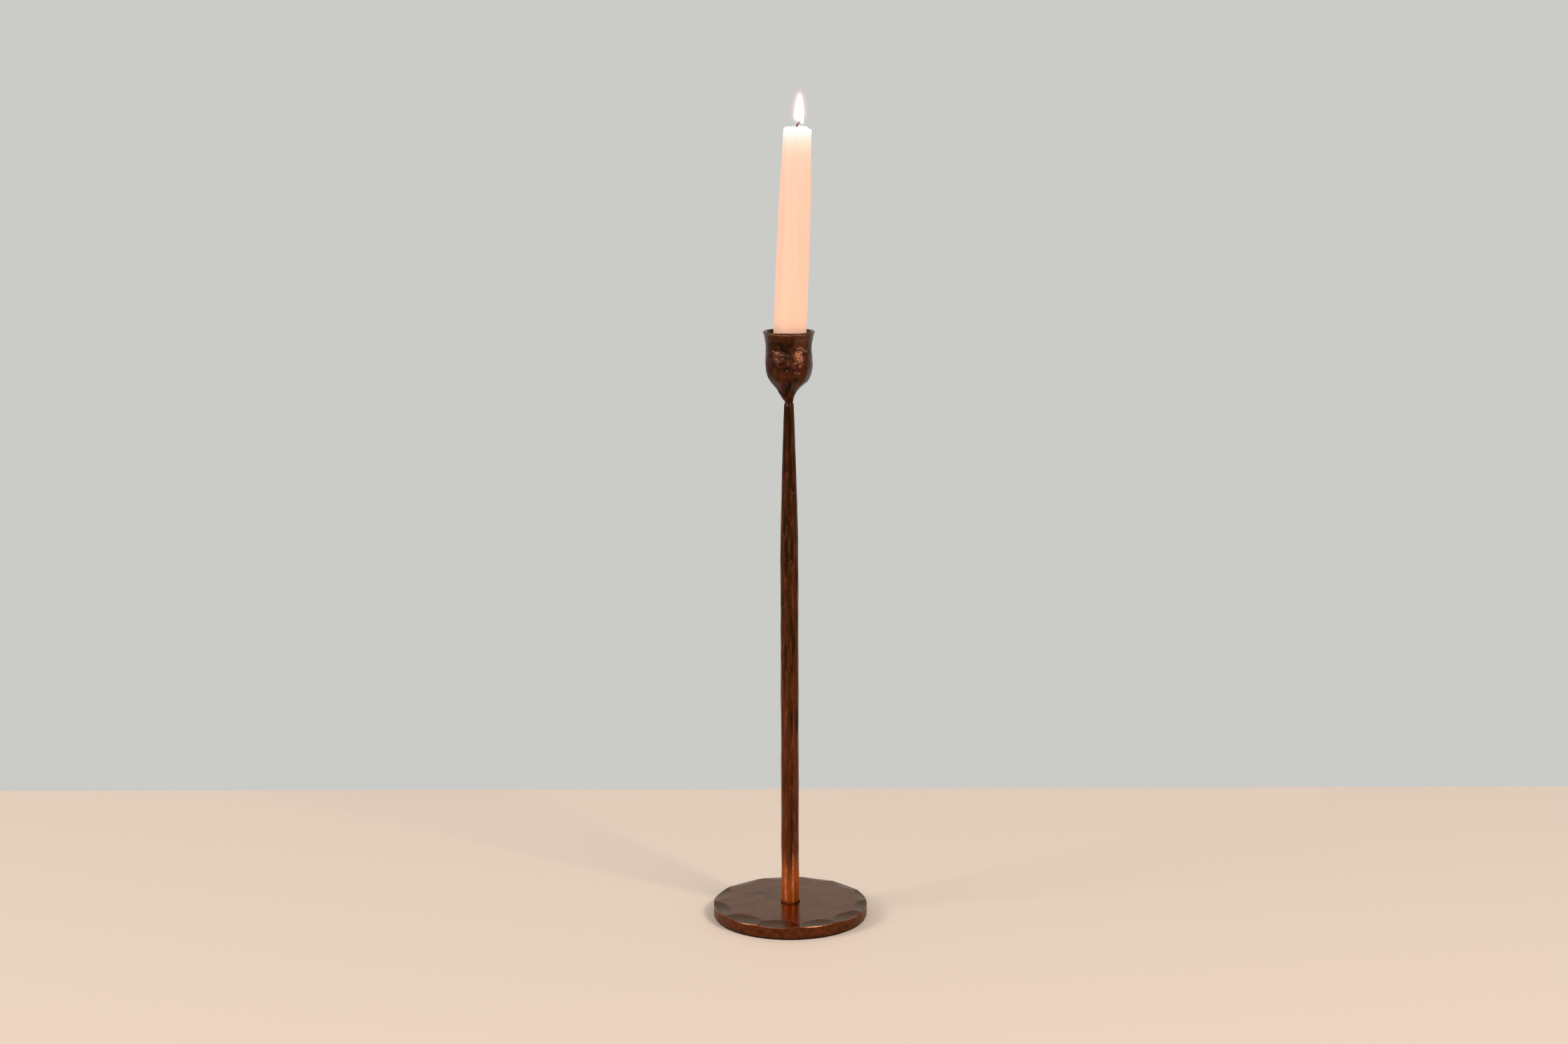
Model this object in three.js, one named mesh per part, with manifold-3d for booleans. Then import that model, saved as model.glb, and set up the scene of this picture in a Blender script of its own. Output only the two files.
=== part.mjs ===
// Tall forged candlestick: a hammered round foot plate on felt, an eight-sided forged stem,
// a tulip-shaped candle cup, and the burnt-down dinner candle that leans in it.
// Millimetres, +Z up. The origin is the centre of the felt pad's underside.

import * as THREE from 'three';
import { mergeVertices } from 'three/addons/utils/BufferGeometryUtils.js';
import Module from 'manifold-3d';

// Foot plate, a thick steel disc whose upper edge is hammered all round
const plateDiameter = 105;
const plateThickness = 8.3;
const plateEdgeBevel = 0.6;
const plateSides = 112;
// The hammer has a slightly domed round face
const hammerDomeRadius = 140;
const hammerFaceDiameter = 44;
const hammerLength = 20;
// Each blow on the rim: the direction it lies in, in degrees from +X, and how deep it went
const rimBlows = [
  [14, 0.6], [41, 0.65], [68, 0.5], [98, 0.45], [129, 0.6], [161, 0.65],
  [197, 0.9], [230, 0.95], [259, 1.25], [292, 0.7], [321, 0.9], [349, 0.75],
];

// Felt pad glued under the plate
const padThickness = 1.2;
const padInset = 0.8;

// Stem, a bar forged to eight sides and drawn down to a thin neck
const stemNeckHeight = 354;
const stemFootAcross = 12.1;
const stemBarAcross = 11.6;
const stemShoulderAcross = 7.5;
const stemNeckAcross = 6;
const stemFootSwellHeight = 28;
const stemTaperStartHeight = 262;
const stemShoulderBelowNeck = 14;
const stemFaces = 8;
const stemTurn = -4;
const stemHammerRipple = 0.018;
const stemRidgeBiteLeast = 0.008;
const stemRidgeBiteMost = 0.062;
const stemRingSpacing = 6;
const stemSeatDepth = 3.5;

// Countersunk screw that holds the stem down on the plate, with a hexagon socket
const footScrewDiameter = 6;
const footScrewHeadDiameter = 12;
const footScrewHeadHeight = 3.3;
const footScrewLength = 20;
const footScrewSocketAcross = 4;
const footScrewSocketDepth = 2;

// Candle cup, raised from thick sheet and drawn in to a solid point at the neck
const cupHeight = 46;
const cupWall = 2;
const cupRimDiameter = 34;
const cupLipHeight = 3.4;
const cupLipFlare = 1.25;
const cupWaistDiameter = 29.3;
const cupWaistHeight = 36;
const cupBellyDiameter = 31;
const cupBellyHeight = 24.5;
const cupShoulderDiameter = 28;
const cupShoulderHeight = 16;
const cupConeDiameter = 13.4;
const cupConeHeight = 8;
const cupFloorDiameter = 8;
const cupFlats = 9;
const cupFlatness = 0.55;
const cupSides = 45;

// Cheese-head screw from inside the cup down into the top of the stem
const cupScrewDiameter = 3;
const cupScrewHeadDiameter = 5.5;
const cupScrewHeadHeight = 2;
const cupScrewLength = 18;
const cupScrewSlotWidth = 0.8;
const cupScrewSlotDepth = 1;

// Dinner candle, its top melted to a shallow pool with a low place on one side
const candleLength = 163;
const candleFootDiameter = 21.8;
const candleTipDiameter = 18.4;
const candleTaperStart = 60;
const candleFootBevel = 0.6;
const candleEdgeRadius = 1.7;
const candlePoolDepth = 1.9;
const candlePoolRadius = 6.6;
const candleLowSideDrop = 1.5;
const candleLowSideWidth = 62;
const candleLean = 2.3;
const candleFootOffset = -0.4;
const candleSides = 40;

// Wick, a braided cotton cord that curls over where it has burnt
const wickDiameter = 1.4;
const wickFootLength = 0.5;
const wickCurlRadius = 2;
const wickCurlAngle = 38;
const wickCurlStart = 3;
const wickTipLength = 2.4;
const wickSides = 10;

// Clearances
const seatClearance = 0.35;
const boreClearance = 0.3;
const screwRecess = 0.3;
const cutOverrun = 1;

const plateBottom = padThickness;
const plateTop = plateBottom + plateThickness;
const stemBottom = plateTop - stemSeatDepth;
const footScrewFace = plateBottom + screwRecess;

const wasm = await Module();
wasm.setup();

function solidFrom(geometry) {
  const bare = geometry.clone();
  bare.deleteAttribute('normal');
  bare.deleteAttribute('uv');
  const merged = mergeVertices(bare);
  return new wasm.Manifold(new wasm.Mesh({
    numProp: 3,
    vertProperties: new Float32Array(merged.attributes.position.array),
    triVerts: new Uint32Array(merged.index.array),
  }));
}

function geometryFrom(solid) {
  const { vertProperties, triVerts } = solid.getMesh();
  const geometry = new THREE.BufferGeometry();
  geometry.setAttribute('position', new THREE.BufferAttribute(vertProperties, 3));
  geometry.setIndex(new THREE.BufferAttribute(triVerts, 1));
  geometry.computeVertexNormals();
  return geometry;
}

// A closed outline of [radius, height] pairs, anticlockwise, turned about the Z axis.
function turned(outline, sides) {
  const points = outline.map(([radius, height]) => new THREE.Vector2(radius, height));
  if (outline[0][0] > 0) {
    points.push(points[0].clone());
  }
  return new THREE.LatheGeometry(points, sides).rotateX(Math.PI / 2);
}

function uprightCylinder(radius, bottom, top, sides) {
  const cylinder = new THREE.CylinderGeometry(radius, radius, top - bottom, sides);
  return cylinder.rotateX(Math.PI / 2).translate(0, 0, (bottom + top) / 2);
}

// Rings of points joined into one skin. A loop of rings closes on its first ring;
// an open stack, climbing, gets a flat end at its foot and at its top.
function skinned(rings, isLoop) {
  const sides = rings[0].length;
  const faces = [];
  const spans = isLoop ? rings.length : rings.length - 1;
  for (let level = 0; level < spans; level += 1) {
    const lower = level * sides;
    const upper = ((level + 1) % rings.length) * sides;
    for (let side = 0; side < sides; side += 1) {
      const next = (side + 1) % sides;
      faces.push(lower + side, lower + next, upper + next);
      faces.push(lower + side, upper + next, upper + side);
    }
  }
  if (!isLoop) {
    const top = (rings.length - 1) * sides;
    for (let side = 1; side < sides - 1; side += 1) {
      faces.push(0, side + 1, side);
      faces.push(top, top + side, top + side + 1);
    }
  }
  const geometry = new THREE.BufferGeometry();
  const positions = rings.flat().flatMap((point) => point.toArray());
  geometry.setAttribute('position', new THREE.Float32BufferAttribute(positions, 3));
  geometry.setIndex(faces);
  geometry.computeVertexNormals();
  return geometry;
}

// A ring about the Z axis whose radius and height may depend on the direction.
function ring(sides, radiusAt, heightAt) {
  return Array.from({ length: sides }, (_, side) => {
    const angle = (side / sides) * 2 * Math.PI;
    const radius = radiusAt(angle);
    return new THREE.Vector3(radius * Math.cos(angle), radius * Math.sin(angle), heightAt(angle));
  });
}

// The value at a place along stations of [place, value], straight between them.
function between(stations, place) {
  const after = stations.findIndex((station) => station[0] >= place);
  if (after === 0) {
    return stations[0][1];
  }
  if (after < 0) {
    return stations[stations.length - 1][1];
  }
  const [placeA, valueA] = stations[after - 1];
  const [placeB, valueB] = stations[after];
  return valueA + ((valueB - valueA) * (place - placeA)) / (placeB - placeA);
}

// Half the width of the stem between opposite faces, at a height.
function stemApothem(height) {
  return between([
    [stemBottom, stemFootAcross / 2],
    [plateTop, stemFootAcross / 2],
    [plateTop + stemFootSwellHeight, stemBarAcross / 2],
    [stemTaperStartHeight, stemBarAcross / 2],
    [stemNeckHeight - stemShoulderBelowNeck, stemShoulderAcross / 2],
    [stemNeckHeight, stemNeckAcross / 2],
  ], height);
}

// How far a face lies from the axis. Hammering leaves each face in long shallow waves.
function stemFaceDistance(face, height) {
  const wave = Math.sin(height * (0.085 + 0.006 * face) + 2.4 * face);
  return stemApothem(height) * (1 + stemHammerRipple * wave);
}

// The share of a ridge that the hammer took off. Where it grows and fades again
// it leaves a long leaf-shaped facet with pointed ends.
function stemRidgeBite(ridge, height) {
  const wave = 0.5 + 0.5 * Math.sin(height * (0.125 + 0.009 * ((ridge * 3) % stemFaces)) + 1.9 * ridge);
  return THREE.MathUtils.lerp(stemRidgeBiteLeast, stemRidgeBiteMost, wave);
}

// Where two flat faces meet, each given by its direction and its distance from the axis.
function faceCrossing(angleA, distanceA, angleB, distanceB, height) {
  const spread = Math.sin(angleB - angleA);
  return new THREE.Vector3(
    (distanceA * Math.sin(angleB) - distanceB * Math.sin(angleA)) / spread,
    (distanceB * Math.cos(angleA) - distanceA * Math.cos(angleB)) / spread,
    height,
  );
}

function stemRing(height) {
  const points = [];
  const step = (2 * Math.PI) / stemFaces;
  const turn = -Math.PI / 2 + THREE.MathUtils.degToRad(stemTurn);
  for (let face = 0; face < stemFaces; face += 1) {
    const angle = turn + face * step;
    const here = stemFaceDistance(face, height);
    const next = stemFaceDistance((face + 1) % stemFaces, height);
    const sharpRidge = (here + next) / 2 / Math.cos(step / 2);
    const ridge = sharpRidge * (1 - stemRidgeBite(face, height));
    points.push(faceCrossing(angle, here, angle + step / 2, ridge, height));
    points.push(faceCrossing(angle + step / 2, ridge, angle + step, next, height));
  }
  return points;
}

function stemCornerRadius(height) {
  return Math.max(...stemRing(height).map((point) => Math.hypot(point.x, point.y)));
}

function makeStem() {
  const spans = Math.round((stemNeckHeight - stemBottom) / stemRingSpacing);
  const rings = [];
  for (let level = 0; level <= spans; level += 1) {
    const height = THREE.MathUtils.lerp(stemBottom, stemNeckHeight, level / spans);
    rings.push(stemRing(height));
  }
  const footBoreTop = footScrewFace + footScrewLength + cutOverrun;
  const footBore = uprightCylinder(
    footScrewDiameter / 2 + boreClearance,
    stemBottom - cutOverrun,
    footBoreTop,
    24,
  );
  const neckBore = uprightCylinder(
    cupScrewDiameter / 2 + boreClearance,
    stemNeckHeight + cupFloorHeight - cupScrewLength - cutOverrun,
    stemNeckHeight + cutOverrun,
    16,
  );
  const bar = solidFrom(skinned(rings, false));
  return geometryFrom(bar.subtract(solidFrom(footBore)).subtract(solidFrom(neckBore)));
}

// A hammer head standing over the origin with the lowest point of its domed face there.
function hammerHead() {
  const steps = 6;
  const widest = Math.asin(hammerFaceDiameter / 2 / hammerDomeRadius);
  const dome = Array.from({ length: steps + 1 }, (_, step) => {
    const turn = (step / steps) * widest;
    return [hammerDomeRadius * Math.sin(turn), hammerDomeRadius * (1 - Math.cos(turn))];
  });
  return turned([...dome, [hammerFaceDiameter / 2, hammerLength], [0, hammerLength]], 40);
}

function makeBasePlate() {
  const radius = plateDiameter / 2;
  const seatRadius = Math.max(stemCornerRadius(stemBottom), stemCornerRadius(plateTop)) + boreClearance;
  const holeRadius = footScrewDiameter / 2 + boreClearance;
  const sinkRadius = footScrewHeadDiameter / 2 + boreClearance;
  const sinkTop = plateBottom + screwRecess + footScrewHeadHeight;
  const disc = turned([
    [sinkRadius, plateBottom],
    [radius - plateEdgeBevel, plateBottom],
    [radius, plateBottom + plateEdgeBevel],
    [radius, plateTop - plateEdgeBevel],
    [radius - plateEdgeBevel, plateTop],
    [seatRadius, plateTop],
    [seatRadius, stemBottom],
    [holeRadius, stemBottom],
    [holeRadius, sinkTop],
    [sinkRadius, plateBottom + screwRecess],
  ], plateSides);
  let plate = solidFrom(disc);
  for (const [direction, depth] of rimBlows) {
    const angle = THREE.MathUtils.degToRad(direction);
    const hammer = hammerHead().translate(radius, 0, plateTop - depth);
    plate = plate.subtract(solidFrom(hammer.rotateZ(angle)));
  }
  return geometryFrom(plate);
}

function makeFeltPad() {
  const radius = plateDiameter / 2 - padInset;
  return turned([[0, 0], [radius, 0], [radius, padThickness], [0, padThickness]], plateSides);
}

function makeFootScrew() {
  const coneTop = footScrewFace + footScrewHeadHeight;
  const shank = footScrewDiameter / 2;
  const screw = turned([
    [0, footScrewFace],
    [footScrewHeadDiameter / 2, footScrewFace],
    [shank, coneTop],
    [shank, footScrewFace + footScrewLength - 0.5],
    [shank - 0.5, footScrewFace + footScrewLength],
    [0, footScrewFace + footScrewLength],
  ], 32);
  const socketRadius = footScrewSocketAcross / 2 / Math.cos(Math.PI / 6);
  const socket = uprightCylinder(
    socketRadius,
    footScrewFace - cutOverrun,
    footScrewFace + footScrewSocketDepth,
    6,
  );
  return geometryFrom(solidFrom(screw).subtract(solidFrom(socket)));
}

// The cup's outside, from its neck to under its lip, as one smooth curve of [radius, height].
const cupOutside = new THREE.SplineCurve([
  new THREE.Vector2(stemNeckAcross / 2, 0),
  new THREE.Vector2(cupConeDiameter / 2, cupConeHeight),
  new THREE.Vector2(cupShoulderDiameter / 2, cupShoulderHeight),
  new THREE.Vector2(cupBellyDiameter / 2, cupBellyHeight),
  new THREE.Vector2(cupWaistDiameter / 2, cupWaistHeight),
  new THREE.Vector2(cupRimDiameter / 2 - cupLipFlare, cupHeight - cupLipHeight),
  new THREE.Vector2(cupRimDiameter / 2, cupHeight),
]).getPoints(20);

// The cup's inside lies one wall thickness in from its outside, down to where the floor begins.
const cupInside = cupOutside.map((point, index) => {
  const before = cupOutside[Math.max(index - 1, 0)];
  const after = cupOutside[Math.min(index + 1, cupOutside.length - 1)];
  const along = after.clone().sub(before).normalize();
  return new THREE.Vector2(point.x - along.y * cupWall, point.y + along.x * cupWall);
}).filter((point) => point.x > cupFloorDiameter / 2 && point.y < cupHeight);

const cupFloorHeight = cupInside[0].y;

// The height, over the neck, where the inside is as wide as a radius, below the belly.
function cupInsideHeight(radius) {
  const climbing = cupInside.filter((point) => point.y < cupBellyHeight);
  return between(climbing.map((point) => [point.x, point.y]), radius);
}

// The forged cone keeps soft flats; they fade out towards the neck and the round rim.
function cupFlatFactor(angle, height) {
  const step = (2 * Math.PI) / cupFlats;
  const across = (angle % step) - step / 2;
  const flat = Math.cos(step / 2) / Math.cos(across);
  const rise = THREE.MathUtils.smoothstep(height, 0, cupConeHeight);
  const fade = 1 - THREE.MathUtils.smoothstep(height, cupShoulderHeight, cupWaistHeight);
  return THREE.MathUtils.lerp(1, flat, cupFlatness * rise * fade);
}

function makeCandleCup() {
  const plainRing = (radius, height) => ring(cupSides, () => radius, () => stemNeckHeight + height);
  const outer = cupOutside.map((point) => ring(
    cupSides,
    (angle) => point.x * cupFlatFactor(angle, point.y),
    () => stemNeckHeight + point.y,
  ));
  const inner = cupInside.map((point) => plainRing(point.x, point.y)).reverse();
  const holeRadius = cupScrewDiameter / 2 + boreClearance;
  const lipInside = plainRing(cupRimDiameter / 2 - cupWall, cupHeight);
  const hole = [plainRing(holeRadius, cupFloorHeight), plainRing(holeRadius, 0)];
  return skinned([...outer, lipInside, ...inner, ...hole], true);
}

function makeCupScrew() {
  const seat = stemNeckHeight + cupFloorHeight;
  const shank = cupScrewDiameter / 2;
  const head = cupScrewHeadDiameter / 2;
  const screw = turned([
    [0, seat - cupScrewLength],
    [shank - 0.4, seat - cupScrewLength],
    [shank, seat - cupScrewLength + 0.4],
    [shank, seat],
    [head, seat],
    [head, seat + cupScrewHeadHeight - 0.3],
    [head - 0.3, seat + cupScrewHeadHeight],
    [0, seat + cupScrewHeadHeight],
  ], 24);
  const slot = new THREE.BoxGeometry(cupScrewHeadDiameter + cutOverrun, cupScrewSlotWidth, cupScrewSlotDepth * 2);
  slot.translate(0, 0, seat + cupScrewHeadHeight);
  return geometryFrom(solidFrom(screw).subtract(solidFrom(slot)));
}

// The candle's radius at a distance up from its foot: straight, then easing in to the tip.
function candleRadius(distance) {
  const share = Math.max(0, (distance - candleTaperStart) / (candleLength - candleTaperStart));
  return candleFootDiameter / 2 - ((candleFootDiameter - candleTipDiameter) / 2) * share * share;
}

// How much lower the melted edge lies in a direction. The low side faces +X, where the wax leans.
function candleEdgeDrop(angle) {
  const turn = Math.abs(THREE.MathUtils.euclideanModulo(angle + Math.PI, 2 * Math.PI) - Math.PI);
  const half = THREE.MathUtils.degToRad(candleLowSideWidth / 2);
  return candleLowSideDrop * (1 - THREE.MathUtils.smoothstep(turn, half * 0.7, half * 1.3));
}

function makeCandle() {
  const edgeStart = candleLength - candleEdgeRadius;
  const wallSpans = 12;
  const edgeSteps = 4;
  const rings = [];
  const wickHole = wickDiameter / 2 + boreClearance;
  const roundRing = (radius, height) => ring(candleSides, () => radius, () => height);
  rings.push(roundRing(wickHole, 0));
  rings.push(roundRing(candleFootDiameter / 2 - candleFootBevel, 0));
  for (let level = 0; level <= wallSpans; level += 1) {
    const height = THREE.MathUtils.lerp(candleFootBevel, edgeStart - candleLowSideDrop, level / wallSpans);
    rings.push(roundRing(candleRadius(height), height));
  }
  for (let step = 0; step <= 2 * edgeSteps; step += 1) {
    const turn = (step / (2 * edgeSteps)) * Math.PI;
    const radius = candleRadius(edgeStart) - candleEdgeRadius * (1 - Math.cos(turn));
    const height = edgeStart + candleEdgeRadius * Math.sin(turn);
    rings.push(ring(candleSides, () => radius, (angle) => height - candleEdgeDrop(angle)));
  }
  const poolFloor = candleLength - candlePoolDepth - candleLowSideDrop;
  rings.push(roundRing(candlePoolRadius * 0.7, poolFloor));
  rings.push(roundRing(wickHole, poolFloor - 0.1));
  return skinned(rings, true);
}

// The wick runs up the candle's core and leaves the pool in an arc that curls to +X.
function makeWick() {
  const shoulder = candleLength - candlePoolDepth - candleLowSideDrop + wickCurlStart;
  const curl = THREE.MathUtils.degToRad(wickCurlAngle);
  const stations = [[0, 0, wickFootLength], [0, 0, shoulder / 2], [0, 0, shoulder]];
  const steps = 6;
  for (let step = 1; step <= steps; step += 1) {
    const turn = (step / steps) * curl;
    const x = wickCurlRadius * (1 - Math.cos(turn));
    stations.push([turn, x, shoulder + wickCurlRadius * Math.sin(turn)]);
  }
  const [, endX, endZ] = stations[stations.length - 1];
  stations.push([curl, endX + wickTipLength * Math.sin(curl), endZ + wickTipLength * Math.cos(curl)]);
  const rings = stations.map(([turn, x, z]) => (
    ring(wickSides, () => wickDiameter / 2, () => 0).map((point) => (
      point.applyAxisAngle(new THREE.Vector3(0, 1, 0), turn).add(new THREE.Vector3(x, 0, z))
    ))
  ));
  return skinned(rings, false);
}

// The height of the leaning candle's foot at which its lower edge just clears the cup's cone.
function candleSeatHeight() {
  const lean = THREE.MathUtils.degToRad(candleLean);
  const footRadius = candleFootDiameter / 2;
  const heights = ring(candleSides, () => footRadius, () => 0).map((point) => {
    const x = candleFootOffset + point.x * Math.cos(lean);
    const reach = Math.hypot(x, point.y) + seatClearance;
    return cupInsideHeight(reach) + point.x * Math.sin(lean);
  });
  return stemNeckHeight + Math.max(...heights);
}

const finishes = {
  copperedSteel: new THREE.MeshStandardMaterial({ color: 0x5a2c1a, roughness: 0.35, metalness: 0.85 }),
  darkPlate: new THREE.MeshStandardMaterial({ color: 0x5c4a3d, roughness: 0.35, metalness: 0.8 }),
  blackFelt: new THREE.MeshStandardMaterial({ color: 0x141211, roughness: 1, metalness: 0 }),
  zincedSteel: new THREE.MeshStandardMaterial({ color: 0xb9bbbd, roughness: 0.4, metalness: 1 }),
  peachWax: new THREE.MeshStandardMaterial({ color: 0xfdcfa8, roughness: 0.45, metalness: 0 }),
  burntCotton: new THREE.MeshStandardMaterial({ color: 0x3a1a18, roughness: 0.95, metalness: 0 }),
};

function part(name, geometry, finish) {
  const mesh = new THREE.Mesh(geometry, finish.clone());
  mesh.name = name;
  return mesh;
}

const candlestick = new THREE.Group();
candlestick.add(part('felt_pad', makeFeltPad(), finishes.blackFelt));
candlestick.add(part('base_plate', makeBasePlate(), finishes.darkPlate));
candlestick.add(part('foot_screw', makeFootScrew(), finishes.zincedSteel));
candlestick.add(part('stem', makeStem(), finishes.copperedSteel));
candlestick.add(part('candle_cup', makeCandleCup(), finishes.copperedSteel));
candlestick.add(part('cup_screw', makeCupScrew(), finishes.zincedSteel));

const leaningCandle = new THREE.Group();
leaningCandle.position.set(candleFootOffset, 0, candleSeatHeight());
leaningCandle.rotation.y = THREE.MathUtils.degToRad(candleLean);
leaningCandle.add(part('candle', makeCandle(), finishes.peachWax));
leaningCandle.add(part('wick', makeWick(), finishes.burntCotton));
candlestick.add(leaningCandle);

export default candlestick;
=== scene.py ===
import math

import bpy
import numpy as np
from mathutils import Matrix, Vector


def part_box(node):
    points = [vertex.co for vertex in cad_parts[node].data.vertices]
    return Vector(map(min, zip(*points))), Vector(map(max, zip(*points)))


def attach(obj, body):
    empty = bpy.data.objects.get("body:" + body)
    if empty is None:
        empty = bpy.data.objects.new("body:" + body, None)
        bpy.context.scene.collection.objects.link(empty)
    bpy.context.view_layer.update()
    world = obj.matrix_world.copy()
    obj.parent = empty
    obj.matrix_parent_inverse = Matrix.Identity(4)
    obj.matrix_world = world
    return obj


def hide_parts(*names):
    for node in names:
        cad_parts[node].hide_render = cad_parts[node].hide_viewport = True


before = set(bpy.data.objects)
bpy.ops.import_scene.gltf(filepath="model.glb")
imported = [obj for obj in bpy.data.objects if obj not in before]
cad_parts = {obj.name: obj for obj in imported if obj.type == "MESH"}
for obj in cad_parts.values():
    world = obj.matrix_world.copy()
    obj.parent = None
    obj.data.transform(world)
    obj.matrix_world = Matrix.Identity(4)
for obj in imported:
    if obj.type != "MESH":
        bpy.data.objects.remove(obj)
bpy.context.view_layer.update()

mm = 0.001
ripple_waves = 20


# Foot plate: a disc of thick steel, its upper edge dressed all round with a ball-faced hammer,
# then coppered and darkened. The blows leave shallow hollows that meet in low peaks. The stem
# stands in a socket at its middle, over a screw hole that is countersunk from below.
plate_low, plate_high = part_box("base_plate")
plate_radius = plate_high[0]
plate_bottom, plate_top = plate_low[2], plate_high[2]
plate_sides = 448
plate_side_rings = 14
plate_hammered_rings = 58
plate_middle_rings = 26
plate_middle_radius = 35 * mm
plate_edge_radius = 0.5 * mm
plate_foot_bevel = 0.5 * mm
plate_side_inset = 0.3 * mm
plate_side_depth = 1.2 * mm
hammer_dome = 140 * mm
blow_softness = 0.02 * mm
blow_spread = 0.22
# Blows on the rim: direction in degrees from +X, depth and reach inwards in mm
rim_blows = [
    (14, 0.6, 6.7), (41, 0.65, 5.6), (68, 0.5, 4.2), (98, 0.45, 5), (129, 0.6, 5.2),
    (161, 0.65, 9.4), (197, 0.9, 10.2), (230, 0.95, 13.5), (259, 1, 13.2), (292, 0.7, 11.2),
    (321, 0.9, 10.6), (349, 0.75, 9.2),
]
top_dent = (-18 * mm, 15 * mm, 9 * mm, 0.12 * mm)
# Dark clouds and bright nicks on the upper face: x, y and size in mm, and a cloud's strength
top_smudges = [(-23, 18, 4.2, 0.9), (-13, 9, 4, 0.85), (-18, 13, 6, 0.3), (-7, -36, 5, 0.4),
               (9, -39, 5, 0.2)]
top_nicks = [(8.9, 19.5, 0.5), (-21, -18.5, 0.6), (-14, -31, 0.5), (-6, -47.5, 0.6),
             (21, 9, 0.4), (-30, 4, 0.4)]
socket_radius = 6.5 * mm
socket_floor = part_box("stem")[0][2]
socket_lip = 0.2 * mm
screw_hole_radius = 3.3 * mm
sink_radius = 6.3 * mm
sink_height = 3.6 * mm


def linear(hex_colour):
    """An sRGB hex colour as the linear values that Blender's sockets take."""
    values = [int(hex_colour[i:i + 2], 16) / 255 for i in (0, 2, 4)]
    return [v / 12.92 if v <= 0.04045 else ((v + 0.055) / 1.055) ** 2.4 for v in values] + [1.0]


def add(tree, kind, inputs=(), **settings):
    """Adds a node. Its inputs come by name, or in their order; one that is given as a node or a
    socket is linked, and any other is set."""
    node = tree.nodes.new(kind)
    for name, value in settings.items():
        setattr(node, name, value)
    for key, value in inputs.items() if isinstance(inputs, dict) else enumerate(inputs):
        if isinstance(value, bpy.types.Node):
            value = next(socket for socket in value.outputs if socket.enabled)
        if isinstance(value, bpy.types.NodeSocket):
            tree.links.new(value, node.inputs[key])
        else:
            node.inputs[key].default_value = value
    return node


def calc(tree, operation, *values):
    """A sum on numbers."""
    return add(tree, "ShaderNodeMath", values, operation=operation)


def calc_way(tree, operation, *values):
    """A sum on points or directions."""
    return add(tree, "ShaderNodeVectorMath", values, operation=operation)


def scale_way(tree, way, size):
    """A direction, a number of times as long."""
    return add(tree, "ShaderNodeVectorMath", {0: way, "Scale": size}, operation="SCALE")


def split(tree, point):
    """A point's X, Y and Z."""
    return add(tree, "ShaderNodeSeparateXYZ", (point,)).outputs


def remap(tree, value, *limits, **settings):
    """A value taken from one range to another. The limits are the start and the end of each, and
    any that are left out are 0 and 1."""
    return add(tree, "ShaderNodeMapRange", (value, *limits), **settings)


def blend(tree, share, under, over, **settings):
    """A colour with a share of another over it."""
    return add(tree, "ShaderNodeMix", {0: share, 6: under, 7: over}, data_type="RGBA", **settings)


def noise(tree, place, size, detail, roughness=0.5, distortion=0.0):
    """Cloudy noise with blotches of a size in mm."""
    return add(tree, "ShaderNodeTexNoise", {
        "Vector": place, "Scale": 1 / (size * mm), "Detail": detail, "Roughness": roughness,
        "Distortion": distortion})


def start_material(name):
    """A new material, its empty tree, and the place on the object that its patterns follow."""
    material = bpy.data.materials.new(name)
    material.use_nodes = True
    tree = material.node_tree
    tree.nodes.clear()
    return material, tree, add(tree, "ShaderNodeTexCoord").outputs["Object"]


def end_material(material, inputs):
    """Ends a material with its surface, and hands it back."""
    surface = add(material.node_tree, "ShaderNodeBsdfPrincipled", inputs)
    add(material.node_tree, "ShaderNodeOutputMaterial", {"Surface": surface})
    return material


def put_in_scene(name, data):
    """An object for a mesh, a lamp or a camera, in the scene."""
    thing = bpy.data.objects.new(name, data)
    bpy.context.collection.objects.link(thing)
    return thing


def ripple(points, size, seed):
    """Smooth random waves through space, mostly -1 to 1, with crests about a size in mm apart."""
    random = np.random.default_rng(seed)
    ways = random.normal(size=(ripple_waves, 3))
    ways /= np.linalg.norm(ways, axis=1, keepdims=True)
    ways *= (2 * math.pi / (size * mm)) * random.uniform(0.6, 1.5, (ripple_waves, 1))
    starts = random.uniform(0, 2 * math.pi, ripple_waves)
    return np.sin(points @ ways.T + starts).sum(-1) / math.sqrt(ripple_waves)


def soft_least(a, b, softness):
    """The lesser of two surfaces, with the edge between them rounded by a softness."""
    return -softness * np.logaddexp(-a / softness, -b / softness)


def ease(value, start, end):
    """Rises smoothly from 0 to 1 between a start and an end."""
    share = np.clip((value - start) / (end - start), 0, 1)
    return share * share * (3 - 2 * share)


def directions(sides):
    """Directions round the stem's axis, anticlockwise from +X, evenly spaced."""
    return np.linspace(0, 2 * math.pi, sides, endpoint=False)


def around(radius, height, angles):
    """One ring of points about the stem's axis; radius and height may vary round it."""
    radius = np.broadcast_to(radius, angles.shape)
    height = np.broadcast_to(height, angles.shape)
    return np.stack([radius * np.cos(angles), radius * np.sin(angles), height], -1)


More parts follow.
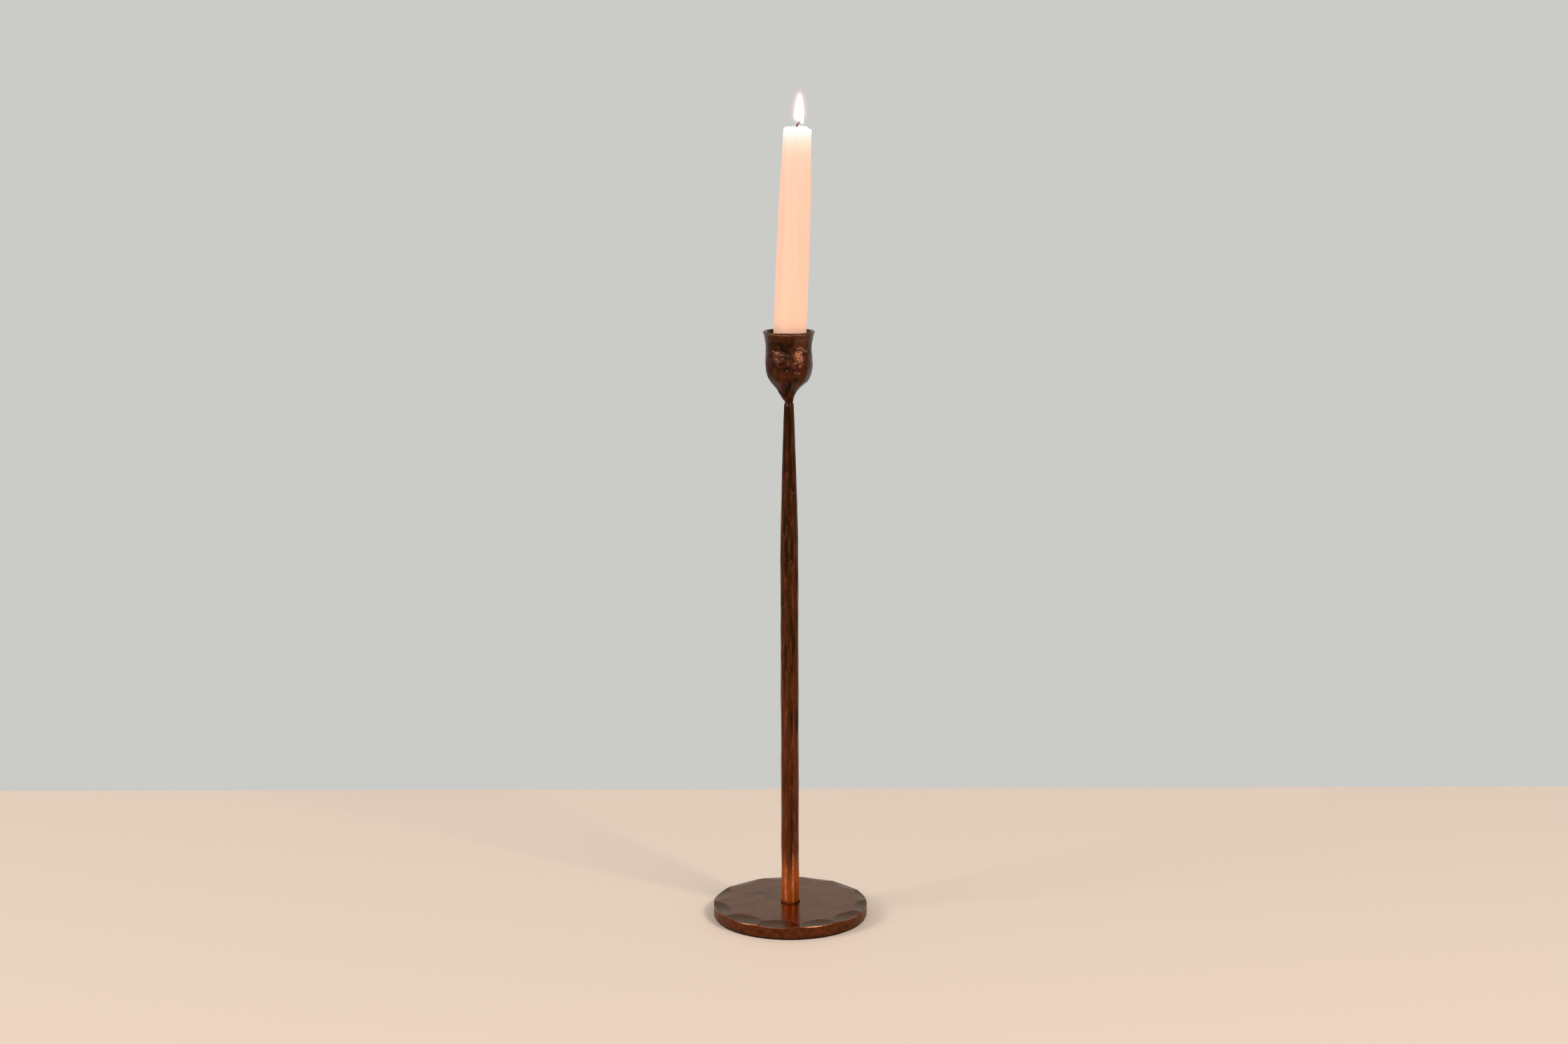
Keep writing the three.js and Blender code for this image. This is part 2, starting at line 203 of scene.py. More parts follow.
def skin(name, rings, loop):
    """A closed mesh through rings of points, climbing and anticlockwise, or round in a loop."""
    levels, sides = rings.shape[:2]
    corner = np.arange(levels * sides).reshape(levels, sides)
    lower = corner if loop else corner[:-1]
    upper = np.roll(corner, -1, axis=0) if loop else corner[1:]
    quads = np.stack([lower, np.roll(lower, -1, 1), np.roll(upper, -1, 1), upper], -1)
    faces = quads.reshape(-1, 4).tolist()
    if not loop:
        faces += [corner[0, ::-1].tolist(), corner[-1].tolist()]
    mesh = bpy.data.meshes.new(name)
    mesh.from_pydata(rings.reshape(-1, 3).tolist(), [], faces)
    mesh.shade_smooth()
    return put_in_scene(name, mesh)


def paint(piece, name, values):
    """Keeps a value at each of a piece's points, for its material to read."""
    attributes = piece.data.attributes
    layer = attributes.get(name) or attributes.new(name, "FLOAT", "POINT")
    layer.data.foreach_set("value", np.ascontiguousarray(values, np.float32).ravel())


def plate_surface(x, y):
    """The height of the plate's upper face at places on it, and how far the blows cut it."""
    flat = np.stack([x, y, np.zeros_like(x)], -1)
    height = plate_top + 0.03 * mm * ripple(flat, 19, 3) + 0.004 * mm * ripple(flat, 5, 4)
    dent_x, dent_y, dent_width, dent_depth = top_dent
    off_dent = ((x - dent_x) ** 2 + (y - dent_y) ** 2) / (dent_width / 1.6) ** 2
    height -= dent_depth * np.exp(-off_dent)
    uncut = height
    for direction, depth, reach in rim_blows:
        angle = math.radians(direction)
        inward = plate_radius - x * math.cos(angle) - y * math.sin(angle)
        along = y * math.cos(angle) - x * math.sin(angle)
        rise = along ** 2 / (2 * hammer_dome) + depth * mm * (inward / (reach * mm)) ** 2
        height = soft_least(height, plate_top - depth * mm + rise, blow_softness)
    return height, uncut - height


def make_plate():
    """Rings from the countersink, out under the plate, up its side, in over its top and down
    through the socket. With each ring goes how dark it is, from its hollows and from painted shade
    in the socket, and how far it is worn or painted with a highlight."""
    angles = directions(plate_sides)
    none = np.zeros(plate_sides)
    edge = plate_surface(plate_radius * np.cos(angles), plate_radius * np.sin(angles))[0]
    spread = (plate_top - edge) * blow_spread
    rows = [(around(radius, plate_bottom, angles), none, none)
            for radius in (sink_radius, plate_radius - plate_foot_bevel)]
    side_height = edge - plate_edge_radius - plate_bottom - plate_foot_bevel
    for share in np.linspace(0, 1, plate_side_rings):
        height = plate_bottom + plate_foot_bevel + share * side_height
        ring = around(plate_radius, height, angles)
        wobble = 0.08 * mm * ripple(ring, 9, 8) + 0.03 * mm * ripple(ring, 2.2, 9)
        radius = plate_radius - plate_side_inset + wobble + spread * share ** 3
        mottle = 0.3 + 0.3 * ripple(ring, 5, 10) + 0.2 * ripple(ring, 1.5, 12)
        rows.append((around(radius, height, angles), mottle.clip(0, 1), none))
    last = np.hypot(*rows[-1][0][:, :2].T)
    for turn in np.radians([15, 30, 45, 60, 75]):
        inward = plate_edge_radius * (1 - math.cos(turn))
        height = edge - plate_edge_radius * (1 - math.sin(turn))
        ring = around(last - inward, height, angles)
        # The rounded top edge is painted bright: partly a rubbed edge, partly a painted highlight.
        rows.append((ring, none, (0.75 + 0.35 * ripple(ring, 14, 11)) * math.sin(turn * 2)))
    start = plate_radius - plate_edge_radius
    hammered = np.linspace(start, plate_middle_radius + 1 * mm, plate_hammered_rings)
    middle = np.linspace(plate_middle_radius, socket_radius, plate_middle_rings)
    for radius in np.concatenate([hammered, middle]):
        ring = around(radius, 0, angles)
        x, y = ring[:, 0], ring[:, 1]
        ring[:, 2], cut = plate_surface(x, y)
        dark = ease(cut, 0.01 * mm, 0.2 * mm) * (0.8 + 0.12 * ripple(ring, 4, 13))
        for smudge_x, smudge_y, size, strength in top_smudges:
            near = ((x - smudge_x * mm) ** 2 + (y - smudge_y * mm) ** 2) / (size * mm) ** 2
            dark += strength * np.exp(-near * (1 + 0.3 * ripple(ring, 5, 15)))
        line = ease(cut, 0, 0.03 * mm) * (1 - ease(cut, 0.03 * mm, 0.15 * mm))
        shine = 0.1 * line * (1 + ripple(ring, 8, 14)).clip(0, 1.5)
        for nick_x, nick_y, size in top_nicks:
            near = (x - nick_x * mm) ** 2 + (y - nick_y * mm) ** 2
            shine = np.maximum(shine, 0.9 * np.exp(-near / (size * mm) ** 2))
        rows.append((ring, dark, shine))
    ring[:, 2] -= socket_lip
    mouth = plate_top - 0.3 * mm - 2 * mm * np.cos(angles) ** 6
    for radius, height in (
        (socket_radius, mouth), (socket_radius - 0.3 * mm, socket_floor),
        (screw_hole_radius, socket_floor), (screw_hole_radius, plate_bottom + sink_height),
        (sink_radius, plate_bottom + 0.3 * mm),
    ):
        # Painted shade down the socket round the stem, darkest towards +X and -X.
        rows.append((around(radius, height, angles), 0.3 + 0.7 * np.cos(angles) ** 2, none))
    rings, hollow, wear_and_highlight = [np.array(column) for column in zip(*rows)]
    piece = skin("base_plate_forged", rings, loop=True)
    paint(piece, "hollow", hollow)
    paint(piece, "wear_and_highlight", wear_and_highlight.clip(0, 1))
    radius = np.hypot(rings[..., 0], rings[..., 1])
    side = ease(radius, plate_radius - plate_side_depth, plate_radius - plate_side_depth / 2)
    paint(piece, "bare_and_lit", side * (rings[..., 2] < plate_top - plate_side_depth))
    return piece


def antiqued_copper(name, colours, sooted, grained, roughness, relief, edge_tint, stretch=1.0):
    """Copper plate over hammered steel, blackened and rubbed back. The eye gets a deep brown
    mirror, black in the hammer's hollows, in clouds and where shade is painted, crumbly bright
    metal with painted sparkle on rough scale, rubbed places with painted highlights and glints, and
    bare metal that is partly painted light."""
    material, tree, place = start_material(name)
    darkening, brown, red, stripped_and_lit, crumbs_and_sparkle, rubbed_and_glint = [linear(colour) for colour in colours]
    place = add(tree, "ShaderNodeMapping", {"Vector": place, "Scale": (1, 1, stretch)})
    clouds, patches, grit, crumble = [
        noise(tree, place, *kind)
        for kind in ((7, 5, 0.6), (3.5, 5, 0.55), (0.5, 3, 0.5), (1.1, 4, 0.6))]
    hollow, wear_and_highlight, rough, bare_and_lit = [
        add(tree, "ShaderNodeAttribute", attribute_name=painted).outputs["Fac"]
        for painted in ("hollow", "wear_and_highlight", "rough", "bare_and_lit")]
    reddish = remap(tree, clouds, 0.38, 0.62)
    black = remap(tree, patches, 0.38, 0.70, 0, sooted)
    black = calc(tree, "ADD", black, hollow)
    black = calc(tree, "MINIMUM", black, 0.9)
    tone = brown
    # The dark colour carries real blackening and painted shade. The bare colour carries bare metal
    # and, on the stem's foot, painted light bounced up from the plate.
    for share, colour in ((reddish, red), (bare_and_lit, stripped_and_lit), (black, darkening)):
        tone = blend(tree, share, tone, colour)
    grain = remap(tree, grit, 0.3, 0.7, 1 + grained, 1 - grained)
    tone = blend(tree, 1.0, tone, grain, blend_type="MULTIPLY")
    scale = calc(tree, "MULTIPLY_ADD", rough, 0.4, crumble)
    scale = remap(tree, scale, 0.71, 1.10, 0, 0.95)
    broken = remap(tree, crumble, 0.40, 0.56, 0.3)
    wear_and_highlight = calc(tree, "MULTIPLY", wear_and_highlight, broken)
    # Crumbs carry rough scale with painted sparkle. The rubbed colour carries real rubbing and
    # painted highlights and glints.
    for share, colour in ((scale, crumbs_and_sparkle), (wear_and_highlight, rubbed_and_glint)):
        tone = blend(tree, share, tone, colour)
    dull = remap(tree, clouds, 0.3, 0.7, roughness + 0.08, roughness - 0.05)
    for matt in (bare_and_lit, rough):
        dull = calc(tree, "MULTIPLY_ADD", matt, 0.2, dull)
    bumpy = remap(tree, rough, 0, 1, 0.12, 1.0)
    height = calc(tree, "ADD", grit, crumble)
    bumps = add(tree, "ShaderNodeBump", {"Height": height, "Strength": bumpy, "Distance": relief})
    return end_material(material, {
        "Base Color": tone, "Roughness": dull, "Normal": bumps, "Metallic": 1.0,
        "Specular Tint": linear(edge_tint)})


def dress(piece, material, body, node):
    """Gives a finished piece its material and stands it in for its node."""
    piece.data.materials.clear()
    piece.data.materials.append(material)
    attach(piece, body)
    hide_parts(node)


copper_on_plate = antiqued_copper(
    "antiqued_copper_on_plate", ("47230b", "67391c", "6e3b1f", "683822", "b06a44", "c8876a"),
    sooted=0.0, grained=0.12, roughness=0.19, relief=0.04 * mm, edge_tint="fffcf4")
dress(make_plate(), copper_on_plate, "holder", "base_plate")


# Stem: a steel bar forged to eight sides and drawn down to a thin neck under the cup, finished
# as the plate is. Its ridges wander, and long leaf-shaped hollows show where the hammer fell.
stem_low, stem_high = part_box("stem")
stem_bottom, stem_neck = stem_low[2], stem_high[2]
# Half the width between opposite faces at each height
stem_stations = [
    (stem_bottom, 6 * mm), (plate_top, 6 * mm), (plate_top + 28 * mm, 5.98 * mm),
    (262 * mm, 6 * mm), (stem_neck - 14 * mm, 3.75 * mm), (stem_neck, 3 * mm),
]
stem_faces = 8
stem_turn = math.radians(-4)
stem_ripple = 0.018
stem_pinch = 0.17
stem_pinch_height = 3.2 * mm
# The share that the hammer took off a ridge, least and most
stem_bite = (0.008, 0.062)
stem_edge_softness = 0.06 * mm
stem_sides = 144
stem_levels = 620
# Leaf-shaped hollows: direction in degrees from the front, height and half length in mm
stem_leaves = [
    (-44, 335, 17), (4, 334, 11), (11, 309, 10), (-42, 310, 8), (-35, 271, 9), (-19, 254, 12),
    (17, 257, 8), (5, 208, 13), (27, 190, 10), (18, 174, 4), (1, 138, 15), (15, 101, 8),
    (7, 58, 26), (38, 296, 9), (44, 236, 12), (-48, 215, 14), (-40, 160, 15), (46, 140, 12),
    (-46, 100, 15), (42, 75, 14), (-28, 186, 9),
]
# Rough specks, painted highlight streaks and patches of painted shade: direction in degrees from
# the front, height, half length and half width in mm, and strength
stem_specks = [
    (0, 276, 2, 0.8, 0.7), (-44, 265, 2.4, 0.8, 0.7), (22, 293, 6, 1, 0.65),
    (10, 247, 1.6, 0.7, 0.8), (35, 250, 2.2, 0.8, 0.7), (-38, 216, 1.2, 0.6, 0.9),
    (-50, 147, 4.5, 0.8, 0.6), (-15, 351, 2, 1.6, 0.6), (30, 325, 9, 0.8, 0.55),
    (180, 351, 2, 3, 0.6), (0, 354, 6, 7, 0.42),
]
stem_gleams = [
    (22, 50, 2.5, 0.35, 0.4), (19, 42, 4, 0.45, 0.6), (17, 33, 6, 0.55, 0.85),
    (17, 22, 7, 0.65, 0.95), (18, 13, 3, 0.6, 0.8), (-27, 32, 3, 0.7, 0.6),
    (-30, 25, 5, 0.85, 0.9), (-31, 16, 6, 0.9, 1.1), (150, 22, 9, 0.6, 0.7),
    (-110, 26, 8, 0.6, 0.7),
]
stem_shade_marks = [(40, 17, 10, 2.4, 0.3), (-38, 350, 9, 3, 0.35), (-20, 352, 8, 1.6, 0.3),
                (8, 355, 5, 5, 0.35)]
# Smaller blows over the back: every few mm up and every few degrees round
stem_back_heights = range(20, 345, 17)
stem_back_turns = range(65, 300, 22)
# Where the foot's bare metal and the painted light bounced onto it from the plate end, and how
# much painted shade each face gets, anticlockwise from the front
stem_bare_and_lit_foot = (plate_top + 9 * mm, plate_top + 39 * mm)
stem_face_shades = [0.19, 0, 0.10, 0.03, 0.14, 0.02, 0.10, 0]


def stem_apothem(heights):
    """Half the stem's width between opposite faces, at heights."""
    return np.interp(heights, *np.array(stem_stations).T)


def bar_outline(angles, heights):
    """The forged bar's radius in each direction at each height, before its last hammering."""
    z = heights[:, None] / mm
    step = 2 * math.pi / stem_faces
    apothem = stem_apothem(heights)[:, None]
    faces = [apothem * (1 + stem_ripple * np.sin(z * (0.085 + 0.006 * k) + 2.4 * k))
             for k in range(stem_faces)]
    radius = np.full((len(heights), len(angles)), 1.0)
    for k in range(stem_faces):
        wave = 0.5 + 0.5 * np.sin(z * (0.125 + 0.009 * ((k * 3) % stem_faces)) + 1.9 * k)
        bite = stem_bite[0] + (stem_bite[1] - stem_bite[0]) * wave
        ridge = (faces[k] + faces[(k + 1) % stem_faces]) / 2 / math.cos(step / 2) * (1 - bite)
        turn = -math.pi / 2 + stem_turn + k * step
        for facing, distance in ((turn, faces[k]), (turn + step / 2, ridge)):
            lean = np.cos(angles - facing)[None, :]
            radius = soft_least(radius, distance / np.maximum(lean, 0.4), stem_edge_softness)
    return radius


def start_tree(name, inputs, output):
    """A new tree of geometry nodes with named inputs and one output, and the inputs' sockets."""
    tree = bpy.data.node_groups.new(name, "GeometryNodeTree")
    for socket, kind in inputs.items():
        tree.interface.new_socket(socket, in_out="INPUT", socket_type="NodeSocket" + kind)
    tree.interface.new_socket(output, in_out="OUTPUT", socket_type="NodeSocketGeometry")
    return tree, add(tree, "NodeGroupInput").outputs


def end_tree(tree, result, material):
    """Ends a tree: what it made is real geometry with its material."""
    result = add(tree, "GeometryNodeRealizeInstances", (result,))
    result = add(tree, "GeometryNodeSetMaterial", {"Geometry": result, "Material": material})
    add(tree, "NodeGroupOutput", (result,))
    return tree


def repeat_zone(tree, times):
    """The first and the last node of a part of a tree that runs a number of times."""
    first = add(tree, "GeometryNodeRepeatInput")
    last = add(tree, "GeometryNodeRepeatOutput")
    first.pair_with_output(last)
    tree.links.new(times, first.inputs["Iterations"])
    return first, last


def hammering_tree():
    """The last hammering. Each mark is a point on the surface; its blow flattens the piece round
    it, deepest at the mark, and the flat runs out along the piece in a leaf."""
    tree, given = start_tree("hammering", {
        "Bar": "Geometry", "Marks": "Object", "Softness": "Float", "Metal": "Material"}, "Forged")
    marks = add(tree, "GeometryNodeObjectInfo", {"Object": given["Marks"]}).outputs["Geometry"]
    count = add(tree, "GeometryNodeAttributeDomainSize", {"Geometry": marks})
    first_blow, last_blow = repeat_zone(tree, count.outputs["Point Count"])
    tree.links.new(given["Bar"], first_blow.inputs["Geometry"])
    spot = add(tree, "GeometryNodeInputPosition")
    reach, crown, plain, before = [
        add(tree, "GeometryNodeInputNamedAttribute", {"Name": name}).outputs["Attribute"]
        for name in ("reach", "crown", "plain", "hollow")]
    mark, reach, crown = [
        add(tree, "GeometryNodeSampleIndex", {
            "Geometry": marks, "Value": value, "Index": first_blow.outputs["Iteration"]},
            data_type=kind)
        for value, kind in ((spot, "FLOAT_VECTOR"), (reach, "FLOAT"), (crown, "FLOAT"))]
    flat_spot, flat_mark = [calc_way(tree, "MULTIPLY", point, (1, 1, 0)) for point in (spot, mark)]
    outward, facing = [calc_way(tree, "NORMALIZE", flat) for flat in (flat_spot, flat_mark)]
    radius = calc_way(tree, "LENGTH", flat_spot)
    lean = calc_way(tree, "DOT_PRODUCT", outward, facing)
    lean = calc(tree, "MAXIMUM", lean, 0.4)
    spot_height, mark_height = [split(tree, point)["Z"] for point in (spot, mark)]
    rise = calc(tree, "SUBTRACT", spot_height, mark_height)
    rise = calc(tree, "MULTIPLY", rise, rise)
    rise = calc(tree, "DIVIDE", rise, crown)
    face = plain
    for value, operation in ((reach, "ADD"), (rise, "ADD"), (lean, "DIVIDE")):
        face = calc(tree, operation, face, value)
    struck = calc(tree, "SMOOTH_MIN", radius, face, given["Softness"])
    pushed = calc(tree, "SUBTRACT", struck, radius)
    deeper = calc(tree, "SUBTRACT", before, pushed)
    noted = add(tree, "GeometryNodeStoreNamedAttribute", {
        "Geometry": first_blow.outputs["Geometry"], "Name": "hollow", "Value": deeper})
    push = scale_way(tree, outward, pushed)
    flattened = add(tree, "GeometryNodeSetPosition", {"Geometry": noted, "Offset": push})
    tree.links.new(flattened.outputs[0], last_blow.inputs["Geometry"])
    return end_tree(tree, last_blow.outputs["Geometry"], given["Metal"])


hammering = hammering_tree()


def keep_result(piece, tree, sizes):
    """Runs a tree of geometry nodes on a piece, with its sizes, and keeps the mesh it makes."""
    nodes = piece.modifiers.new(tree.name, "NODES")
    nodes.node_group = tree
    for item in tree.interface.items_tree:
        if item.name in sizes:
            nodes[item.identifier] = sizes[item.name]
    ready = piece.evaluated_get(bpy.context.evaluated_depsgraph_get())
    piece.data = bpy.data.meshes.new_from_object(ready)
    piece.modifiers.clear()


def forge(piece, plain, blows, softness, metal):
    """Hammers a piece: blows are rows of direction in degrees from the front, height, reach past
    the plain surface and crown."""
    paint(piece, "plain", plain)
    paint(piece, "hollow", np.zeros(len(piece.data.vertices)))
    turn, height, reach, crown = np.array(blows).T
    dots = bpy.data.meshes.new("hammer_marks")
    dots.from_pydata(around(10 * mm, height, np.radians(turn - 90)).tolist(), [], [])
    tool = put_in_scene("hammer_marks", dots)
    paint(tool, "reach", reach)
    paint(tool, "crown", crown)
    keep_result(piece, hammering, {"Marks": tool, "Softness": softness, "Metal": metal})
    bpy.data.objects.remove(tool)


def read_back(layer, key, shape):
    """What a layer of a mesh holds, in the order of the rings that it was made from."""
    values = np.zeros(math.prod(shape), np.float32)
    layer.foreach_get(key, values)
    return values.reshape(shape).astype(float)


def speckle(turns, heights, spots, radius):
    """Marks on a round piece: spots are rows of direction from the front, height, half length and
    half width in mm, and strength."""
    value = np.zeros(np.broadcast_shapes(turns.shape, heights.shape))
    for turn, height, length, width, strength in spots:
        aside = (turns - turn + 180) % 360 - 180
        across = np.radians(aside) * radius / (width * mm)
        mark = strength * np.exp(-across ** 2 - ((heights - height * mm) / (length * mm)) ** 2)
        value = np.maximum(value, mark)
    return value


def make_stem(metal):
    """The bar is hammered, then given a fine grit, and painted with its wear from its shape, with
    painted highlights, painted shade and painted light bounced onto its foot.
    """
    angles = directions(stem_sides)
    heights = np.linspace(stem_bottom, stem_neck, stem_levels)
    radius = bar_outline(angles, heights)
    radius *= 1 - stem_pinch * ease(heights, stem_neck - stem_pinch_height, stem_neck)[:, None]
    rings = np.array([around(r, h, angles) for r, h in zip(radius, heights)])
    piece = skin("stem_forged", rings, loop=False)
    random = np.random.default_rng(11)
    blows = []
    for turn, height, half in stem_leaves:
        depth = 0.14 * mm + 0.005 * half * mm
        blows.append((turn, height * mm, -depth, (half * mm) ** 2 / depth))
    for height in stem_back_heights:
        for turn in stem_back_turns:
            half = random.uniform(8, 16)
            depth = random.uniform(-0.08, 0.12) * mm
            blows.append((turn + random.uniform(-9, 9), (height + random.uniform(-7, 7)) * mm,
                          -depth, (half * mm) ** 2 / (0.15 * mm)))
    plain = np.repeat(stem_apothem(heights)[:, None], stem_sides, 1)
    forge(piece, plain, blows, 0.03 * mm, metal)
    rings = read_back(piece.data.vertices, "co", rings.shape)
    grit = 0.010 * mm * ripple(rings, 1.5, 31)
    grit += 0.015 * mm * ripple(rings * (1, 1, 0.2), 2, 32)
    radius = np.hypot(rings[..., 0], rings[..., 1])
    rings[..., :2] *= ((radius + grit) / radius)[..., None]
    piece.data.vertices.foreach_set("co", rings.reshape(-1))
    bend = np.roll(radius, 2, 1) + np.roll(radius, -2, 1) - 2 * radius
    ridge = np.clip(-bend / radius / 0.009 - 0.25, 0, 1)
    ridge = sum(np.roll(ridge, k, 1) for k in (-2, -1, 0, 1, 2)) / 5
    turns = np.degrees(angles)[None, :] + 90
    heights = heights[:, None]
    rough = speckle(turns, heights, stem_specks, radius)
    faces = np.arange(-1, stem_faces + 1)
    face_turns = faces * 360 / stem_faces + math.degrees(stem_turn)
    shades = np.take(stem_face_shades, faces, mode="wrap")
    aside = (turns + 3 * ripple(rings * (0, 0, 0.3), 9, 35)) % 360
    face_edges = np.stack([face_turns - 15, face_turns + 15], -1).ravel()
    face_shade = np.interp(aside, face_edges, np.repeat(shades, 2))
    # The foot is painted bright: partly bare copper, partly painted light bounced up from the
    # plate. It ends lower on faces with more painted shade.
    foot = 1 - ease(heights + 30 * mm * (face_shade - 0.05), *stem_bare_and_lit_foot)
    broken = np.clip(0.5 + 0.7 * ripple(rings * (1, 1, 0.3), 4, 33), 0, 1)
    # Worn ridges, lightened partly as painted highlight, and the painted highlight streaks at the
    # foot.
    wear_and_highlight = ridge * 0.15 * broken + speckle(turns, heights, stem_gleams, radius)
    shade = ease(heights, plate_top, plate_top + 2.5 * mm)
    # The hammer's hollows are darkened, partly as patina and partly as painted reflection of a dark
    # room.
    hollow = read_back(piece.data.attributes["hollow"].data, "value", radius.shape)
    hollow = ease(hollow, 0.02 * mm, 0.3 * mm)
    hollow *= 0.38 + 0.2 * ripple(rings * (1, 1, 0.4), 5, 34)
    # Painted shade: each face's own share, and more the higher up the stem.
    hollow += face_shade + 0.02 + 0.48 * ease(heights, 40 * mm, 340 * mm)
    # Patches of painted shade, most of them on the neck under the cup.
    shade_marks = speckle(turns, heights, stem_shade_marks, radius)
    paint(piece, "wear_and_highlight", (wear_and_highlight * shade).clip(0, 1))
    # Painted shade where the stem goes down into the socket.
    paint(piece, "hollow", (hollow * (1 - foot) + 0.5 * (1 - shade) + shade_marks).clip(0, 1))
    paint(piece, "bare_and_lit", foot)
    paint(piece, "rough", rough + wear_and_highlight * foot)
    return piece


copper_on_stem = antiqued_copper(
    "antiqued_copper_on_stem", ("291a0b", "5c3012", "6b3521", "ce6b29", "a8705c", "eb9c78"),
    sooted=0.2, grained=0.16, roughness=0.27, relief=0.09 * mm, edge_tint="ffffff", stretch=0.35)
dress(make_stem(copper_on_stem), copper_on_stem, "holder", "stem")


# Foot screw and cup screw: turned steel with bright zinc, one from below up into the stem, and
# one from inside the cup down into it. Both keep their solids, whose shape is right.
def bright_zinc():
    """Zinc plate on turned steel: pale grey, a little cloudy, with a fine lathe grain."""
    material, tree, place = start_material("bright_zinc_on_steel")
    cloud = noise(tree, place, 1.5, 3)
    tone = blend(tree, cloud, linear("93979a"), linear("cdd0d2"))
    turned = add(tree, "ShaderNodeTexWave", {
        "Vector": place, "Scale": 1 / (3 * mm), "Distortion": 0.4},
        wave_type="RINGS", rings_direction="Z").outputs["Fac"]
    dull = remap(tree, turned, 0, 1, 0.25, 0.42)
    relief = add(tree, "ShaderNodeBump", {"Height": turned, "Distance": 0.01 * mm})
    return end_material(material, {
        "Base Color": tone, "Roughness": dull, "Normal": relief, "Metallic": 1.0})


zinc = bright_zinc()
for screw in ("foot_screw", "cup_screw"):
    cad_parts[screw].data.materials.clear()
    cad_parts[screw].data.materials.append(zinc)


# Candle cup: raised from thick steel sheet into a tulip and drawn to a solid point, finished as
# the stem is. Its belly kept the rough scale of the fire in two patches, and a crease over them.
cup_low, cup_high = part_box("candle_cup")
cup_neck, cup_rim = cup_low[2], cup_high[2]
cup_wall = 2 * mm
cup_sides = 256
cup_flats = 9
cup_flatness = 0.55
cup_point = 0.88
cup_inside_reach = (4 * mm, 45 * mm)
cup_screw_hole_radius = 1.8 * mm
cup_crease = 34.6 * mm
# Radius and height over the neck in mm, up the outside and then round the lip
cup_points = [(3, 0), (5.1, 4.6), (7.2, 8), (14.1, 16), (15.75, 24.5), (15.1, 35), (15.9, 41.5),
              (16.8, 45)]
cup_lip = [(17, 45.15), (17.05, 45.6), (17, 46.05), (16.85, 46.3), (16.5, 46.4), (15.8, 46.4),
           (15.25, 46.15)]
# How far the forged cone leans to +X at each height, in mm
cup_lean = [(0, 0), (2, -0.7), (5, -0.75), (8, -0.45), (11, -0.3), (14, -0.3), (18, -0.1), (24, 0),
            (46, 0)]
# Bulges, the crease, patches of scale with painted sparkle, rubbed places with painted glints,
# and dark patches: direction in degrees from the front, height, half length and half width in mm,
# and mm outwards or strength
cup_bulges = [
    (90, 13.2, 2.2, 8, 0.7), (-90, 6.3, 2.6, 4, 0.6), (-90, 10.8, 2.6, 6, 0.5),
    (150, 14, 3, 5, -0.4), (-150, 12, 3, 6, 0.4), (40, 16, 3, 5, -0.3), (-35, 19, 4, 5, 0.3),
    (10, 37, 3, 6, -0.25),
]
cup_crease_reach = [(-22, 34.6, 4, 8, 1), (8, 34.6, 4, 5, 0.7), (150, 34, 4, 12, 1)]
cup_scale = [
    (22, 32.4, 2.6, 3, 1.25), (31, 32.8, 3, 3, 1.25), (27, 29.2, 3, 3.6, 1.25),
    (19, 26.8, 1.6, 2.6, 1.1), (31, 25.6, 2.4, 2.4, 1), (28, 36.3, 0.5, 2.4, 1.2),
    (37, 35.7, 0.5, 1.8, 1.1), (47, 34.2, 0.6, 0.9, 1.2), (-42, 34.6, 0.8, 1, 0.5),
    (-26, 30.5, 4.5, 4, 0.26), (10, 27, 5, 8, 0.25), (150, 26, 4, 4, 1.1),
    (-140, 29, 3, 5, 1.1), (100, 22, 3, 3, 1), (-95, 33, 2, 4, 0.9),
]
cup_rubs_and_glints = [
    (-29, 33, 0.8, 1.6, 0.5), (-19, 32.4, 0.6, 1.5, 0.55), (-33, 29.4, 1, 1, 0.45),
    (-25, 28, 0.8, 1.6, 0.6), (35, 41.5, 3, 5, 0.14), (-16, 29.5, 0.9, 0.8, 0.4),
    (-3, 32, 1.2, 1.6, 0.3), (-2, 27.5, 2, 0.5, 0.3), (30, 36.5, 0.35, 1.5, 2),
    (37, 35.9, 0.3, 1, 1.2), (47, 34.5, 0.5, 0.7, 0.9), (-4.6, 21.9, 0.32, 0.32, 3),
    (18, 20.6, 0.22, 1.2, 1.3), (25, 19.9, 0.22, 1, 1.6), (150, 33, 0.8, 2, 0.6),
    (-120, 27, 1, 2, 0.6),
]
cup_dark_patches = [
    (-27, 38.8, 2.6, 7.5, 0.95), (-30, 36, 1.7, 6, 1), (-12, 36.2, 1.5, 4, 0.7),
    (-4, 38.6, 2.4, 3.5, 0.85), (-4, 23.4, 3, 3.2, 0.75), (0, 42, 2, 3.5, 0.4),
    (12, 22, 2, 3, 0.45), (-28, 22.5, 2, 2.5, 0.4), (-4, 31, 4, 2.5, 0.5), (-12, 26, 3, 6, 0.4),
    (-40, 25, 3, 4, 0.5), (8, 34, 1.5, 3, 0.4), (28, 22.4, 2.4, 4, 0.5),
    (-48, 31.5, 1.4, 2.4, 0.9), (0, 13.8, 2.6, 1.2, 0.8), (-30, 16.5, 1.2, 2, 0.6),
    (20, 15, 1.5, 1.5, 0.6), (-10, 6.5, 4, 1.2, 0.7), (-52, 20.5, 3, 3, 0.6),
    (38, 24, 2, 2, 0.5), (120, 36, 3, 6, 0.9), (180, 18, 4, 5, 0.8), (-110, 24, 5, 4, 0.8),
    (75, 37, 2.5, 4, 0.6), (-80, 15, 3, 3, 0.7),
]


